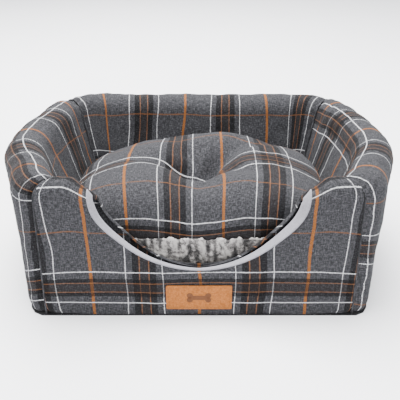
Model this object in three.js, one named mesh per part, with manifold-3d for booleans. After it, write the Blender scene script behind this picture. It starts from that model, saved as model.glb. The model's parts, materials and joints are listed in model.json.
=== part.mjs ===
// A convertible fabric pet bed: a padded cube cave whose upper half has been pushed down inside the lower
// half, so that every wall is a folded-over double layer around an open nest with a loose cushion in it.
//
// Millimetres, +Z up. +X is the bed's right as seen from its front, and the entrance faces -Y.
// The origin is the middle of the bed's bounding box, on the floor.
//
// Every wall is one padded panel (tartan cloth, foam sheet, lining) that stands up from the base, rolls over
// the rim and hangs down inside. Its section is an upside-down U: u runs inwards from the outer face's foot,
// z upwards, and an inset is a depth behind the tartan's face. The section changes smoothly along the
// footprint, which is followed anticlockwise from the front left corner.

import * as THREE from 'three';
import { mergeVertices } from 'three/addons/utils/BufferGeometryUtils.js';
import Module from 'manifold-3d';

const { clamp, degToRad, inverseLerp, lerp, smoothstep } = THREE.MathUtils;

// ---------------------------------------------------------------- driving dimensions

const BASE_WIDTH = 424;           // footprint, outer faces of the side walls at the floor
const BASE_DEPTH = 336;           // footprint, outer faces of the front and back walls at the floor
const RIM_HEIGHT = 178;           // floor to the top of the rolled rim
const FRONT_PANEL_WIDTH = 380;    // between the two front corner seams
const FRONT_CORNER_DEPTH = 40;    // how far back the side panels' rounded front corners run
const BACK_CORNER_RADIUS = 45;
const NEST_CORNER_RADIUS = 25;

const SIDE_HOLLOW = 32;           // between the two plies of a side or back wall, at the nest's floor
const SIDE_RIM_BEND = 12;         // inside radius of the fat roll on the side and back walls
const FRONT_HOLLOW = 2;           // between the two plies of the front wall, which is folded flat
const WALL_LEAN = 7;              // degrees that the side and back walls lean outwards
const SIDE_BOW = 8;               // degrees more that a side wall leans in its middle

const CLOTH = 1.2;                // woven tartan
const FOAM = 10;                  // wall and roof foam sheet
const LINING = 0.8;
const BASE_CLOTH = 1.5;           // coated non-slip cloth under the bed
const BASE_FOAM = 15;
const GAP = 0.5;                  // clearance between neighbouring layers

const ENTRANCE_WIDTH = 252;       // the round entrance is folded in half at the rim
const ENTRANCE_SILL = 66;         // floor to the lowest point of the entrance's edge
const BINDING = 0.8;              // thickness of the tape on the entrance's edge
const BINDING_CLEARANCE = 0.3;

const SEAM_WIDTH = 2.2;           // a sewn corner seam, measured along the footprint
const SEAM_PROUD = 1.2;           // how far the seam stands out of the cloth
const SEAM_ALLOWANCE = 7;         // how deep the sewn edges reach behind the cloth
const SEAM_GAP = 0.6;

const LABEL_WIDTH = 78;
const LABEL_HEIGHT = 33;
const LABEL_THICKNESS = 1.6;
const LABEL_CORNER_RADIUS = 1.5;
const LABEL_BOTTOM = 11;          // floor to the label's lower edge
const LABEL_CLEARANCE = 0.3;
const STITCH_MARGIN = 2.4;        // label edge to its stitching
const STITCH_THREAD = 0.7;

const CUSHION_CLEARANCE = 4;      // cushion to the walls at the height of its edge seam
const CUSHION_HEIGHT = 112;       // from the cushion's underside to its fullest part
const CUSHION_SEAM_HEIGHT = 44;   // from the cushion's underside to the seam round its edge
const CUSHION_DIMPLE = 30;        // how deep the central tack pulls the top in
const CUSHION_DIMPLE_RADIUS = 55;
const UNDER_DIMPLE = 5;           // how deep it pulls the underside in
const UNDER_DIMPLE_RADIUS = 25;
const CUSHION_SQUARENESS = 4;     // exponent of the cushion's plan outline: 2 is round, more is squarer
const SHERPA = 6;                 // pile cloth of the cushion's underside
const TACK_THREAD_RADIUS = 1.2;
const TACK_HOLE_RADIUS = 1.7;
const TACK_END_RADIUS = 5;
const TACK_END_THICKNESS = 1;

const LIMB_SEGMENTS = 2;          // facets up each limb of a wall's section
const ARC_SEGMENTS = 6;           // facets over its rim
const CORNER_STEPS = 5;
const SIDE_STEPS = 4;
const CUSHION_SEGMENTS = 24;
const CUSHION_RINGS = [0, 0.04, 0.14, 0.27, 0.43, 0.62, 0.8, 0.92, 0.98];

// ---------------------------------------------------------------- derived heights and depths

const HALF_WIDTH = BASE_WIDTH / 2;
const HALF_DEPTH = BASE_DEPTH / 2;
const FRONT_SEAM_X = FRONT_PANEL_WIDTH / 2;

const LAYERS = {
  cloth: [0, CLOTH],
  foam: [CLOTH + GAP, CLOTH + GAP + FOAM],
  lining: [CLOTH + GAP + FOAM + GAP, CLOTH + GAP + FOAM + GAP + LINING],
};
const PLY = LAYERS.lining[1];     // one padded panel
const SIDE_WALL_DEPTH = 2 * PLY + SIDE_HOLLOW;
const SIDE_RIM_RADIUS = PLY + SIDE_RIM_BEND;
const FRONT_WALL_DEPTH = 2 * PLY + FRONT_HOLLOW;
const FRONT_RIM_RADIUS = FRONT_WALL_DEPTH / 2;

// The flat stack under the nest: the base, then the folded-in roof upside down on it.
const BASE_FOAM_Z = BASE_CLOTH + GAP;
const FLOOR_LINING_Z = BASE_FOAM_Z + BASE_FOAM + GAP;
const ROOF_LINING_Z = FLOOR_LINING_Z + LINING + GAP;
const ROOF_FOAM_Z = ROOF_LINING_Z + LINING + GAP;
const ROOF_CLOTH_Z = ROOF_FOAM_Z + FOAM + GAP;
const NEST_FLOOR = ROOF_CLOTH_Z + CLOTH + GAP;

// The nest's floor, a rounded rectangle between the walls' inner faces.
const NEST = {
  halfWidth: HALF_WIDTH - SIDE_WALL_DEPTH,
  front: -HALF_DEPTH + FRONT_WALL_DEPTH,
  back: HALF_DEPTH - SIDE_WALL_DEPTH,
};

// ---------------------------------------------------------------- solids from manifold-3d

const wasm = await Module();
wasm.setup();

/** A three.js geometry as a manifold-3d solid. */
function toSolid(geometry) {
  const bare = geometry.clone();
  bare.deleteAttribute('normal');
  bare.deleteAttribute('uv');
  const merged = mergeVertices(bare, 1e-3);
  return new wasm.Manifold(new wasm.Mesh({
    numProp: 3,
    vertProperties: merged.attributes.position.array,
    triVerts: new Uint32Array(merged.index.array),
  }));
}

/** A manifold-3d solid as a three.js geometry. */
function toGeometry(solid) {
  const mesh = solid.getMesh();
  const geometry = new THREE.BufferGeometry();
  geometry.setAttribute('position', new THREE.BufferAttribute(mesh.vertProperties, 3));
  geometry.setIndex(new THREE.BufferAttribute(mesh.triVerts, 1));
  geometry.computeVertexNormals();
  return geometry;
}

// ---------------------------------------------------------------- wall section

/** A wall's upside-down U for a depth at the nest's floor, a rim radius and an outward lean in radians. */
function wallSection(depth, rimRadius, lean) {
  const rimZ = RIM_HEIGHT - rimRadius;
  const rimU = (rimRadius - rimZ * Math.sin(lean)) / Math.cos(lean);
  const across = depth - rimU;
  const drop = rimZ - NEST_FLOOR;
  const innerLean = Math.acos(rimRadius / Math.hypot(across, drop)) - Math.atan2(drop, across);
  return { rimRadius, rimZ, rimU, lean, innerLean };
}

/** Where the inner limb's face is at a height. */
function innerFaceU({ rimRadius, rimZ, rimU, innerLean }, z) {
  return rimU + (rimRadius + (rimZ - z) * Math.sin(innerLean)) / Math.cos(innerLean);
}

/** A section's point at an inset, counted in facets from the outer foot over the rim to the inner foot. */
function foldPoint(section, inset, facet) {
  const { rimRadius, rimZ, rimU, lean, innerLean } = section;
  const arc = clamp((facet - LIMB_SEGMENTS) / ARC_SEGMENTS, 0, 1);
  const angle = lerp(Math.PI + lean, innerLean, arc);
  const rim = {
    u: rimU + (rimRadius - inset) * Math.cos(angle),
    z: rimZ + (rimRadius - inset) * Math.sin(angle),
  };
  if (facet < LIMB_SEGMENTS) {
    const t = facet / LIMB_SEGMENTS;
    const footU = (inset - BASE_FOAM_Z * Math.sin(lean)) / Math.cos(lean);
    return { u: lerp(footU, rim.u, t), z: lerp(BASE_FOAM_Z, rim.z, t) };
  }
  const t = Math.max(0, (facet - LIMB_SEGMENTS - ARC_SEGMENTS) / LIMB_SEGMENTS);
  const footU = innerFaceU(section, NEST_FLOOR) - inset / Math.cos(innerLean);
  return { u: lerp(rim.u, footU, t), z: lerp(rim.z, NEST_FLOOR, t) };
}

const SIDE_SECTION = wallSection(SIDE_WALL_DEPTH, SIDE_RIM_RADIUS, degToRad(WALL_LEAN));

// ---------------------------------------------------------------- footprint

/** The right half of the footprint, from the front's middle round to the back's middle. */
function footprintHalf() {
  const path = new THREE.Path();
  const frontY = -HALF_DEPTH + FRONT_CORNER_DEPTH;
  const frontWidth = HALF_WIDTH - FRONT_SEAM_X;
  const r = BACK_CORNER_RADIUS;
  path.moveTo(0, -HALF_DEPTH);
  path.lineTo(FRONT_SEAM_X, -HALF_DEPTH);
  path.absellipse(FRONT_SEAM_X, frontY, frontWidth, FRONT_CORNER_DEPTH, -Math.PI / 2, 0, false, 0);
  path.lineTo(HALF_WIDTH, HALF_DEPTH - r);
  path.absarc(HALF_WIDTH - r, HALF_DEPTH - r, r, 0, Math.PI / 2, false);
  path.lineTo(0, HALF_DEPTH);
  return path;
}

const FOOTPRINT = footprintHalf();
const FOOTPRINT_ENDS = FOOTPRINT.getCurveLengths();
const [FRONT_SEAM_AT, FRONT_CORNER_END, BACK_CORNER_START, BACK_CORNER_END] = FOOTPRINT_ENDS;
const BACK_SEAM_AT = (BACK_CORNER_START + BACK_CORNER_END) / 2;

// The walls are straight inside and out between these distances, and turn beyond them.
const FRONT_STRAIGHT_END = NEST.halfWidth - NEST_CORNER_RADIUS;
const SIDE_STRAIGHT_START = FRONT_CORNER_END
  + Math.max(0, FRONT_WALL_DEPTH + NEST_CORNER_RADIUS - FRONT_CORNER_DEPTH);
const BACK_OVERHANG = Math.max(0, SIDE_WALL_DEPTH + NEST_CORNER_RADIUS - BACK_CORNER_RADIUS);
const SIDE_STRAIGHT_END = BACK_CORNER_START - BACK_OVERHANG;
const BACK_STRAIGHT_START = BACK_CORNER_END + BACK_OVERHANG;

/** The point of the nest's edge that faces a footprint point. */
function nestEdge(point) {
  const r = NEST_CORNER_RADIUS;
  const core = new THREE.Vector2(
    clamp(point.x, -NEST.halfWidth + r, NEST.halfWidth - r),
    clamp(point.y, NEST.front + r, NEST.back - r),
  );
  return point.clone().sub(core).setLength(r).add(core);
}

/** The outward lean at a distance: none in the front wall, most in the middle of a side wall. */
function leanAt(distance) {
  const alongSide = clamp(inverseLerp(FRONT_SEAM_AT, BACK_SEAM_AT, distance), 0, 1);
  const bow = Math.sin(Math.PI * alongSide) ** 2;
  return degToRad(WALL_LEAN * smoothstep(alongSide, 0, 0.5) + SIDE_BOW * bow);
}

/** A footprint station on the right half, at a distance from the front's middle. */
function station(distance) {
  const curve = FOOTPRINT_ENDS.findIndex((end) => distance <= end + 1e-9);
  const start = curve === 0 ? 0 : FOOTPRINT_ENDS[curve - 1];
  const along = clamp(inverseLerp(start, FOOTPRINT_ENDS[curve], distance), 0, 1);
  const outer = FOOTPRINT.curves[curve].getPointAt(along);
  const inward = nestEdge(outer).sub(outer);
  const depth = inward.length();
  const fat = clamp(inverseLerp(FRONT_WALL_DEPTH, SIDE_WALL_DEPTH, depth), 0, 1);
  const rimRadius = lerp(FRONT_RIM_RADIUS, SIDE_RIM_RADIUS, fat);
  const section = wallSection(depth, rimRadius, leanAt(distance));
  return { outer, inward: inward.normalize(), depth, section };
}

/** The same station on the left half. */
function mirrored({ outer, inward, depth, section }) {
  return {
    outer: new THREE.Vector2(-outer.x, outer.y),
    inward: new THREE.Vector2(-inward.x, inward.y),
    depth,
    section,
  };
}

/** Stations at evenly spaced distances, both ends included. */
function stationsBetween(from, to, steps) {
  return Array.from({ length: steps + 1 }, (_, i) => station(lerp(from, to, i / steps)));
}

const PANEL_END = SEAM_WIDTH / 2 + SEAM_GAP;   // from a seam's middle to a panel's end

const STATIONS = (() => {
  const frontRight = stationsBetween(FRONT_STRAIGHT_END, FRONT_SEAM_AT - PANEL_END, CORNER_STEPS);
  const backRight = stationsBetween(BACK_SEAM_AT + PANEL_END, BACK_STRAIGHT_START, CORNER_STEPS);
  const right = [
    ...stationsBetween(FRONT_SEAM_AT + PANEL_END, SIDE_STRAIGHT_START, CORNER_STEPS).slice(0, -1),
    ...stationsBetween(SIDE_STRAIGHT_START, SIDE_STRAIGHT_END, SIDE_STEPS).slice(0, -1),
    ...stationsBetween(SIDE_STRAIGHT_END, BACK_SEAM_AT - PANEL_END, CORNER_STEPS),
  ];
  return {
    front: [...frontRight.map(mirrored).reverse(), ...frontRight],
    right,
    back: [...backRight, ...backRight.map(mirrored).reverse()],
    left: right.map(mirrored).reverse(),
  };
})();

// ---------------------------------------------------------------- wall layers

/** Runs the diagonals of a box's +X face the way its -X face's run, so that twisted layers still nest. */
function matchDiagonals({ index, groups }) {
  const { start, count } = groups[0];
  for (let i = start; i < start + count; i += 6) {
    const [a, b, d, , c] = index.array.slice(i, i + 5);
    index.array.set([a, b, c, a, c, d], i);
  }
}

/** A layer between two insets, folded over the rim and swept through stations. */
function foldedLayer(stations, fromInset, toInset) {
  const facets = 2 * LIMB_SEGMENTS + ARC_SEGMENTS;
  const steps = stations.length - 1;
  const geometry = new THREE.BoxGeometry(1, facets, steps, 1, facets, steps);
  matchDiagonals(geometry);
  geometry.translate(0.5, facets / 2, steps / 2);
  const position = geometry.attributes.position;
  for (let i = 0; i < position.count; i += 1) {
    const { outer, inward, section } = stations[Math.round(position.getZ(i))];
    const inset = lerp(fromInset, toInset, position.getX(i));
    const { u, z } = foldPoint(section, inset, Math.round(position.getY(i)));
    position.setXYZ(i, outer.x + inward.x * u, outer.y + inward.y * u, z);
  }
  return geometry;
}

function wallLayer(side, layer) {
  return foldedLayer(STATIONS[side], ...LAYERS[layer]);
}

/** The sewn edges of two panels, standing a little proud of the cloth and reaching in behind it. */
function cornerSeam(at, onLeft) {
  const ends = stationsBetween(at - SEAM_WIDTH / 2, at + SEAM_WIDTH / 2, 1);
  const stations = onLeft ? ends.map(mirrored).reverse() : ends;
  return foldedLayer(stations, -SEAM_PROUD, SEAM_ALLOWANCE);
}

// ---------------------------------------------------------------- entrance

/** An elliptical rod along Y through the front wall, centred on the rim. */
function entranceRod(inset) {
  const shape = new THREE.Shape();
  const halfHeight = RIM_HEIGHT - ENTRANCE_SILL;
  shape.absellipse(0, 0, ENTRANCE_WIDTH / 2 - inset, halfHeight - inset, 0, Math.PI * 2, false, 0);
  const depth = SIDE_WALL_DEPTH * 3;
  const geometry = new THREE.ExtrudeGeometry(shape, { depth, bevelEnabled: false, curveSegments: 24 });
  geometry.rotateX(Math.PI / 2);
  geometry.translate(0, -HALF_DEPTH + depth / 2, RIM_HEIGHT);
  return toSolid(geometry);
}

function frontLayer(layer) {
  return toGeometry(toSolid(wallLayer('front', layer)).subtract(entranceRod(0)));
}

/** The tape along the entrance's whole edge: down the outer ply, over the fold and along the inner ply. */
function entranceBinding() {
  const ring = entranceRod(BINDING_CLEARANCE).subtract(entranceRod(BINDING_CLEARANCE + BINDING));
  return toGeometry(ring.intersect(toSolid(foldedLayer(STATIONS.front, 0, PLY))));
}

// ---------------------------------------------------------------- base and folded-in roof

/** A flat panel whose edge is at a distance u inwards of the footprint, given for each station's depth. */
function flatPanel(edgeU, z, depth) {
  const edge = Object.values(STATIONS).flat().map((at) => (
    at.outer.clone().addScaledVector(at.inward, edgeU(at.depth))
  ));
  const geometry = new THREE.ExtrudeGeometry(new THREE.Shape(edge), { depth, bevelEnabled: false });
  return geometry.translate(0, 0, z);
}

const atOuterFace = () => 0;
const insideOuterPly = () => PLY + GAP;
const underInnerPly = (depth) => depth - PLY;

// ---------------------------------------------------------------- label

/** A rectangle with round corners, centred on the origin. */
function roundedRectangle(width, height, radius) {
  const shape = new THREE.Shape();
  const x = width / 2 - radius;
  const y = height / 2 - radius;
  shape.absarc(x, y, radius, 0, Math.PI / 2, false);
  shape.absarc(-x, y, radius, Math.PI / 2, Math.PI, false);
  shape.absarc(-x, -y, radius, Math.PI, Math.PI * 1.5, false);
  shape.absarc(x, -y, radius, Math.PI * 1.5, Math.PI * 2, false);
  shape.closePath();
  return shape;
}

/** Stands a flat outline up against the front panel, its back face a distance in front of it. */
function onFrontPanel(shape, depth, distance) {
  const geometry = new THREE.ExtrudeGeometry(shape, { depth, bevelEnabled: false, curveSegments: 3 });
  geometry.rotateX(Math.PI / 2);
  return geometry.translate(0, -HALF_DEPTH - distance, LABEL_BOTTOM + LABEL_HEIGHT / 2);
}

function labelPatch() {
  const shape = roundedRectangle(LABEL_WIDTH, LABEL_HEIGHT, LABEL_CORNER_RADIUS);
  return onFrontPanel(shape, LABEL_THICKNESS, LABEL_CLEARANCE);
}

function labelStitching() {
  const width = LABEL_WIDTH - 2 * STITCH_MARGIN;
  const height = LABEL_HEIGHT - 2 * STITCH_MARGIN;
  const shape = roundedRectangle(width, height, LABEL_CORNER_RADIUS);
  shape.holes.push(roundedRectangle(
    width - 2 * STITCH_THREAD, height - 2 * STITCH_THREAD, LABEL_CORNER_RADIUS - STITCH_THREAD,
  ));
  return onFrontPanel(shape, STITCH_THREAD, LABEL_CLEARANCE + LABEL_THICKNESS + LABEL_CLEARANCE);
}

// ---------------------------------------------------------------- cushion

const CUSHION = (() => {
  const seamZ = NEST_FLOOR + CUSHION_SEAM_HEIGHT;
  const wall = innerFaceU(SIDE_SECTION, seamZ) + CUSHION_CLEARANCE;
  const front = NEST.front + CUSHION_CLEARANCE;
  const back = HALF_DEPTH - wall;
  return { seamZ, halfWidth: HALF_WIDTH - wall, halfDepth: (back - front) / 2, y: (back + front) / 2 };
})();

/** How full the cushion is at a share of the way out to its edge, with 0.5 flat and 1 a cone. */
const fullnessAt = (share, sharpness) => Math.max(0, 1 - share ** 2.5) ** sharpness;

/** How far the tack's pull reaches, from 1 at the middle. */
const pullAt = (share) => Math.exp(-(share ** 2));

/** The cushion's surface, moved in by sideInset at its edge, topInset above and underInset below. */
function pillow(sideInset, topInset, underInset) {
  const rise = CUSHION_HEIGHT - CUSHION_SEAM_HEIGHT - topInset;
  const drop = CUSHION_SEAM_HEIGHT - underInset;
  const profile = [
    ...CUSHION_RINGS.map((share) => new THREE.Vector2(share, -drop * fullnessAt(share, 0.25))),
    new THREE.Vector2(1, 0),
    ...CUSHION_RINGS.map((share) => new THREE.Vector2(share, rise * fullnessAt(share, 0.4))).reverse(),
  ];
  const geometry = new THREE.LatheGeometry(profile, CUSHION_SEGMENTS);
  geometry.rotateX(Math.PI / 2);
  const position = geometry.attributes.position;
  for (let i = 0; i < position.count; i += 1) {
    const [x, y, height] = [position.getX(i), position.getY(i), position.getZ(i)];
    const share = Math.hypot(x, y);
    const power = CUSHION_SQUARENESS;
    const square = share < 1e-6 ? 1 : share / (Math.abs(x) ** power + Math.abs(y) ** power) ** (1 / power);
    const planX = x * square * (CUSHION.halfWidth - sideInset);
    const planY = y * square * (CUSHION.halfDepth - sideInset);
    const distance = Math.hypot(planX, planY);
    const dimple = height >= 0
      ? -CUSHION_DIMPLE * pullAt(distance / CUSHION_DIMPLE_RADIUS)
      : UNDER_DIMPLE * pullAt(distance / UNDER_DIMPLE_RADIUS);
    position.setXYZ(i, planX, planY + CUSHION.y, CUSHION.seamZ + height + dimple);
  }
  return toSolid(geometry);
}

/** A block that covers the cushion from one height up to another. */
function slab(fromZ, toZ) {
  const geometry = new THREE.BoxGeometry(BASE_WIDTH, BASE_DEPTH, toZ - fromZ);
  return toSolid(geometry.translate(0, CUSHION.y, (fromZ + toZ) / 2));
}

function tackHole() {
  const geometry = new THREE.CylinderGeometry(TACK_HOLE_RADIUS, TACK_HOLE_RADIUS, RIM_HEIGHT * 2, 12);
  geometry.rotateX(Math.PI / 2);
  return toSolid(geometry.translate(0, CUSHION.y, RIM_HEIGHT));
}

function cushionTop() {
  const cover = pillow(0, 0, 0).subtract(pillow(CLOTH, CLOTH, SHERPA));
  const above = slab(CUSHION.seamZ + GAP / 2, CUSHION.seamZ + CUSHION_HEIGHT);
  return toGeometry(cover.intersect(above).subtract(tackHole()));
}

function cushionUnderside() {
  const cover = pillow(0, 0, 0).subtract(pillow(SHERPA, CLOTH, SHERPA));
  const below = slab(CUSHION.seamZ - CUSHION_HEIGHT, CUSHION.seamZ - GAP / 2);
  return toGeometry(cover.intersect(below).subtract(tackHole()));
}

function cushionFilling() {
  const filling = pillow(SHERPA + GAP, CLOTH + GAP, SHERPA + GAP);
  return toGeometry(filling.subtract(tackHole()));
}

/** The thread that ties the cushion's middle down, with a flat knot at each end. */
function cushionTack() {
  const under = CUSHION.seamZ - CUSHION_SEAM_HEIGHT + UNDER_DIMPLE - GAP;
  const over = CUSHION.seamZ + CUSHION_HEIGHT - CUSHION_SEAM_HEIGHT - CUSHION_DIMPLE + GAP * 2;
  const profile = [
    [0, under - TACK_END_THICKNESS],
    [TACK_END_RADIUS, under - TACK_END_THICKNESS],
    [TACK_END_RADIUS, under],
    [TACK_THREAD_RADIUS, under],
    [TACK_THREAD_RADIUS, over],
    [TACK_END_RADIUS, over],
    [TACK_END_RADIUS, over + TACK_END_THICKNESS],
    [0, over + TACK_END_THICKNESS],
  ].map(([r, z]) => new THREE.Vector2(r, z));
  const geometry = new THREE.LatheGeometry(profile, 12);
  geometry.rotateX(Math.PI / 2);
  return geometry.translate(0, CUSHION.y, 0);
}

// ---------------------------------------------------------------- materials

const MATERIALS = {
  tartan: new THREE.MeshStandardMaterial({ color: 0x5b5c61, roughness: 0.95, metalness: 0 }),
  foam: new THREE.MeshStandardMaterial({ color: 0xe9e6da, roughness: 1, metalness: 0 }),
  lining: new THREE.MeshStandardMaterial({ color: 0x8f8f94, roughness: 0.9, metalness: 0 }),
  baseCloth: new THREE.MeshStandardMaterial({ color: 0x1c1c1e, roughness: 0.85, metalness: 0 }),
  binding: new THREE.MeshStandardMaterial({ color: 0xb9b8be, roughness: 0.8, metalness: 0 }),
  label: new THREE.MeshStandardMaterial({ color: 0xc0854f, roughness: 0.7, metalness: 0 }),
  stitching: new THREE.MeshStandardMaterial({ color: 0x7c5230, roughness: 0.8, metalness: 0 }),
  sherpa: new THREE.MeshStandardMaterial({ color: 0xb5b0ab, roughness: 1, metalness: 0 }),
  filling: new THREE.MeshStandardMaterial({ color: 0xf3f2ee, roughness: 1, metalness: 0 }),
};

// ---------------------------------------------------------------- assembly

const bed = new THREE.Group();
const shell = new THREE.Group();
const cushion = new THREE.Group();
bed.add(shell, cushion);

function addPiece(group, name, geometry, material) {
  const mesh = new THREE.Mesh(geometry, material.clone());
  mesh.name = name;
  group.add(mesh);
}

Object.keys(LAYERS).forEach((layer) => {
  const material = layer === 'cloth' ? MATERIALS.tartan : MATERIALS[layer];
  addPiece(shell, `front_panel_${layer}`, frontLayer(layer), material);
  ['right', 'back', 'left'].forEach((side) => {
    addPiece(shell, `${side}_panel_${layer}`, wallLayer(side, layer), material);
  });
});

addPiece(shell, 'front_right_seam', cornerSeam(FRONT_SEAM_AT, false), MATERIALS.tartan);
addPiece(shell, 'front_left_seam', cornerSeam(FRONT_SEAM_AT, true), MATERIALS.tartan);
addPiece(shell, 'back_right_seam', cornerSeam(BACK_SEAM_AT, false), MATERIALS.tartan);
addPiece(shell, 'back_left_seam', cornerSeam(BACK_SEAM_AT, true), MATERIALS.tartan);
addPiece(shell, 'entrance_binding', entranceBinding(), MATERIALS.binding);

addPiece(shell, 'base_cloth', flatPanel(atOuterFace, 0, BASE_CLOTH), MATERIALS.baseCloth);
addPiece(shell, 'base_foam', flatPanel(insideOuterPly, BASE_FOAM_Z, BASE_FOAM), MATERIALS.foam);
addPiece(shell, 'floor_lining', flatPanel(insideOuterPly, FLOOR_LINING_Z, LINING), MATERIALS.lining);
addPiece(shell, 'roof_lining', flatPanel(underInnerPly, ROOF_LINING_Z, LINING), MATERIALS.lining);
addPiece(shell, 'roof_foam', flatPanel(underInnerPly, ROOF_FOAM_Z, FOAM), MATERIALS.foam);
addPiece(shell, 'roof_cloth', flatPanel(underInnerPly, ROOF_CLOTH_Z, CLOTH), MATERIALS.tartan);

addPiece(shell, 'label_patch', labelPatch(), MATERIALS.label);
addPiece(shell, 'label_stitching', labelStitching(), MATERIALS.stitching);

addPiece(cushion, 'cushion_top_cloth', cushionTop(), MATERIALS.tartan);
addPiece(cushion, 'cushion_sherpa_underside', cushionUnderside(), MATERIALS.sherpa);
addPiece(cushion, 'cushion_filling', cushionFilling(), MATERIALS.filling);
addPiece(cushion, 'cushion_tack_thread', cushionTack(), MATERIALS.stitching);

// The bed's frame is the middle of its bounding box, so it is moved there as a whole.
const middle = new THREE.Box3().setFromObject(bed).getCenter(new THREE.Vector3());
bed.position.set(-middle.x, -middle.y, 0);

export default bed;
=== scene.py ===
"""A folded fabric cube bed for a small pet, with a loose tufted cushion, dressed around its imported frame.

The bed is a padded cube cave whose upper half is pushed down inside the lower half. Each wall is one quilted
panel that stands up from the base, rolls over the rim and hangs down inside. Lengths inside the classes are
millimetres, in the frame's own axes: +X right, the entrance facing -Y, +Z up. Meshes are written in metres.
"""

import json
import logging
import math
from bisect import bisect_right
from collections.abc import Callable, Iterable
from dataclasses import dataclass, field
from enum import Enum
from functools import cached_property
from itertools import accumulate

import bmesh
import bpy
from mathutils import Matrix, Vector, kdtree, noise

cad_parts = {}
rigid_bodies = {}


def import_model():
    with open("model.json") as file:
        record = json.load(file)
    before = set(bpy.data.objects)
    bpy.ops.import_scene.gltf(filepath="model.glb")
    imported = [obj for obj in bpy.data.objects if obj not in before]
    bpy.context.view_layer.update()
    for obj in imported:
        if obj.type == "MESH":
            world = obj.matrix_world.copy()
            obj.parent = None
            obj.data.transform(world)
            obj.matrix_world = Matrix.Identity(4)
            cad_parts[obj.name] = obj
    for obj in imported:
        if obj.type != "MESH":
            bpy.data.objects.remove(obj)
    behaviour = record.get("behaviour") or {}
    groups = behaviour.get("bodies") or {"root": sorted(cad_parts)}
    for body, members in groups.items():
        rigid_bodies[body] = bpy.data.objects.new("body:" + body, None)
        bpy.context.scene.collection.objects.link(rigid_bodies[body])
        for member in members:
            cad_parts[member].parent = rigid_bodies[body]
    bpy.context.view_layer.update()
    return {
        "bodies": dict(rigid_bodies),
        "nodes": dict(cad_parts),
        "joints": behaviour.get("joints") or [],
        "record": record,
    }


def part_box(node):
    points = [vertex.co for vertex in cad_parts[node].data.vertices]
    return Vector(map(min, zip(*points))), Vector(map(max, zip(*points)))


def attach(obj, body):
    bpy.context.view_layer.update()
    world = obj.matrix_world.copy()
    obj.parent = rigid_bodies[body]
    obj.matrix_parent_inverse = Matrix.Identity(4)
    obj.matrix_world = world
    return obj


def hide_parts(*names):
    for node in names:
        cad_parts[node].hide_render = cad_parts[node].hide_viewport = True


LOG = logging.getLogger("pet_bed")
MM = 0.001
UV_NAME = "cloth"
CLOTH = 1.2                    # thickness of the tartan
RIM = 1.5                      # the part of a wall's fold at the top of its rim
FOLD_ROWS = (0.36, 0.34, 0.30)  # shares of a panel's rows outside, over the rim and inside

Colour = tuple[float, float, float, float]
Bent = tuple[Vector, tuple[float, float]]
Settings = dict[str | int, object]


# ---------------------------------------------------------------- small helpers


def lerp(start: float, end: float, share: float) -> float:
    """Returns the number a share of the way from start to end."""
    return start + (end - start) * share


def clamp(value: float, low: float = 0.0, high: float = 1.0) -> float:
    """Returns the value, kept between two limits."""
    return min(high, max(low, value))


def smoothstep(value: float, low: float, high: float) -> float:
    """Eases from 0 at low to 1 at high."""
    share = clamp((value - low) / (high - low))
    return share * share * (3 - 2 * share)


def bell(value: float, width: float) -> float:
    """Returns 1 where the value is 0, and falls away to nothing over about two widths."""
    return math.exp(-((value / width) ** 2))


@dataclass(frozen=True)
class Ripple:
    """Waves or creases in cloth: seeded noise with its own height and wavelengths."""

    height: float
    across: float
    up: float
    seed: float
    octaves: int = 3

    def at(self, x: float, y: float, seed: float = 0.0) -> float:
        """Returns the waves' height at a place on the cloth, for one panel's seed."""
        place = Vector((x / self.across, y / self.up, self.seed + seed))
        return self.height * noise.fractal(place, 0.6, 2.0, self.octaves, noise_basis="PERLIN_ORIGINAL")


def linear(hex_colour: str) -> Colour:
    """Turns an sRGB hex colour into the linear colour that shaders take.

    Args:
        hex_colour: Six hex digits, such as "5b5c61".

    Returns:
        Linear red, green, blue and an alpha of 1.
    """
    channels = [int(hex_colour[i:i + 2], 16) / 255 for i in (0, 2, 4)]
    values = [c / 12.92 if c <= 0.04045 else ((c + 0.055) / 1.055) ** 2.4 for c in channels]
    return (*values, 1.0)


def new_object(name: str, bm: bmesh.types.BMesh, smooth: bool = True) -> bpy.types.Object:
    """Writes a bmesh in millimetres to a new object in metres and links it to the scene.

    Args:
        name: The piece's name.
        bm: The shape, which is freed.
        smooth: Whether its faces are shaded smooth.

    Returns:
        The new object, at the origin, unturned and unscaled.
    """
    bmesh.ops.scale(bm, vec=(MM, MM, MM), verts=bm.verts)
    for face in bm.faces:
        face.smooth = smooth
    mesh = bpy.data.meshes.new(name)
    bm.to_mesh(mesh)
    bm.free()
    piece = bpy.data.objects.new(name, mesh)
    bpy.context.scene.collection.objects.link(piece)
    return piece


def cloth_object(
    name: str, bm: bmesh.types.BMesh, thickness: float = CLOTH, outwards: bool = False, levels: int = 1
) -> bpy.types.Object:
    """Makes a bent sheet into a piece of cloth.

    Args:
        name: The piece's name.
        bm: The sheet, which is freed.
        thickness: How thick the cloth is, behind the sheet's face.
        outwards: Whether the thickness lies in front of the face instead.
        levels: How many times the cloth is subdivided.

    Returns:
        The new object.
    """
    piece = new_object(name, bm)
    solid = piece.modifiers.new("thickness", "SOLIDIFY")
    solid.thickness = thickness * MM
    solid.offset = 1.0 if outwards else -1.0
    if levels:
        smooth = piece.modifiers.new("smooth", "SUBSURF")
        smooth.levels = smooth.render_levels = levels
    return piece


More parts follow.
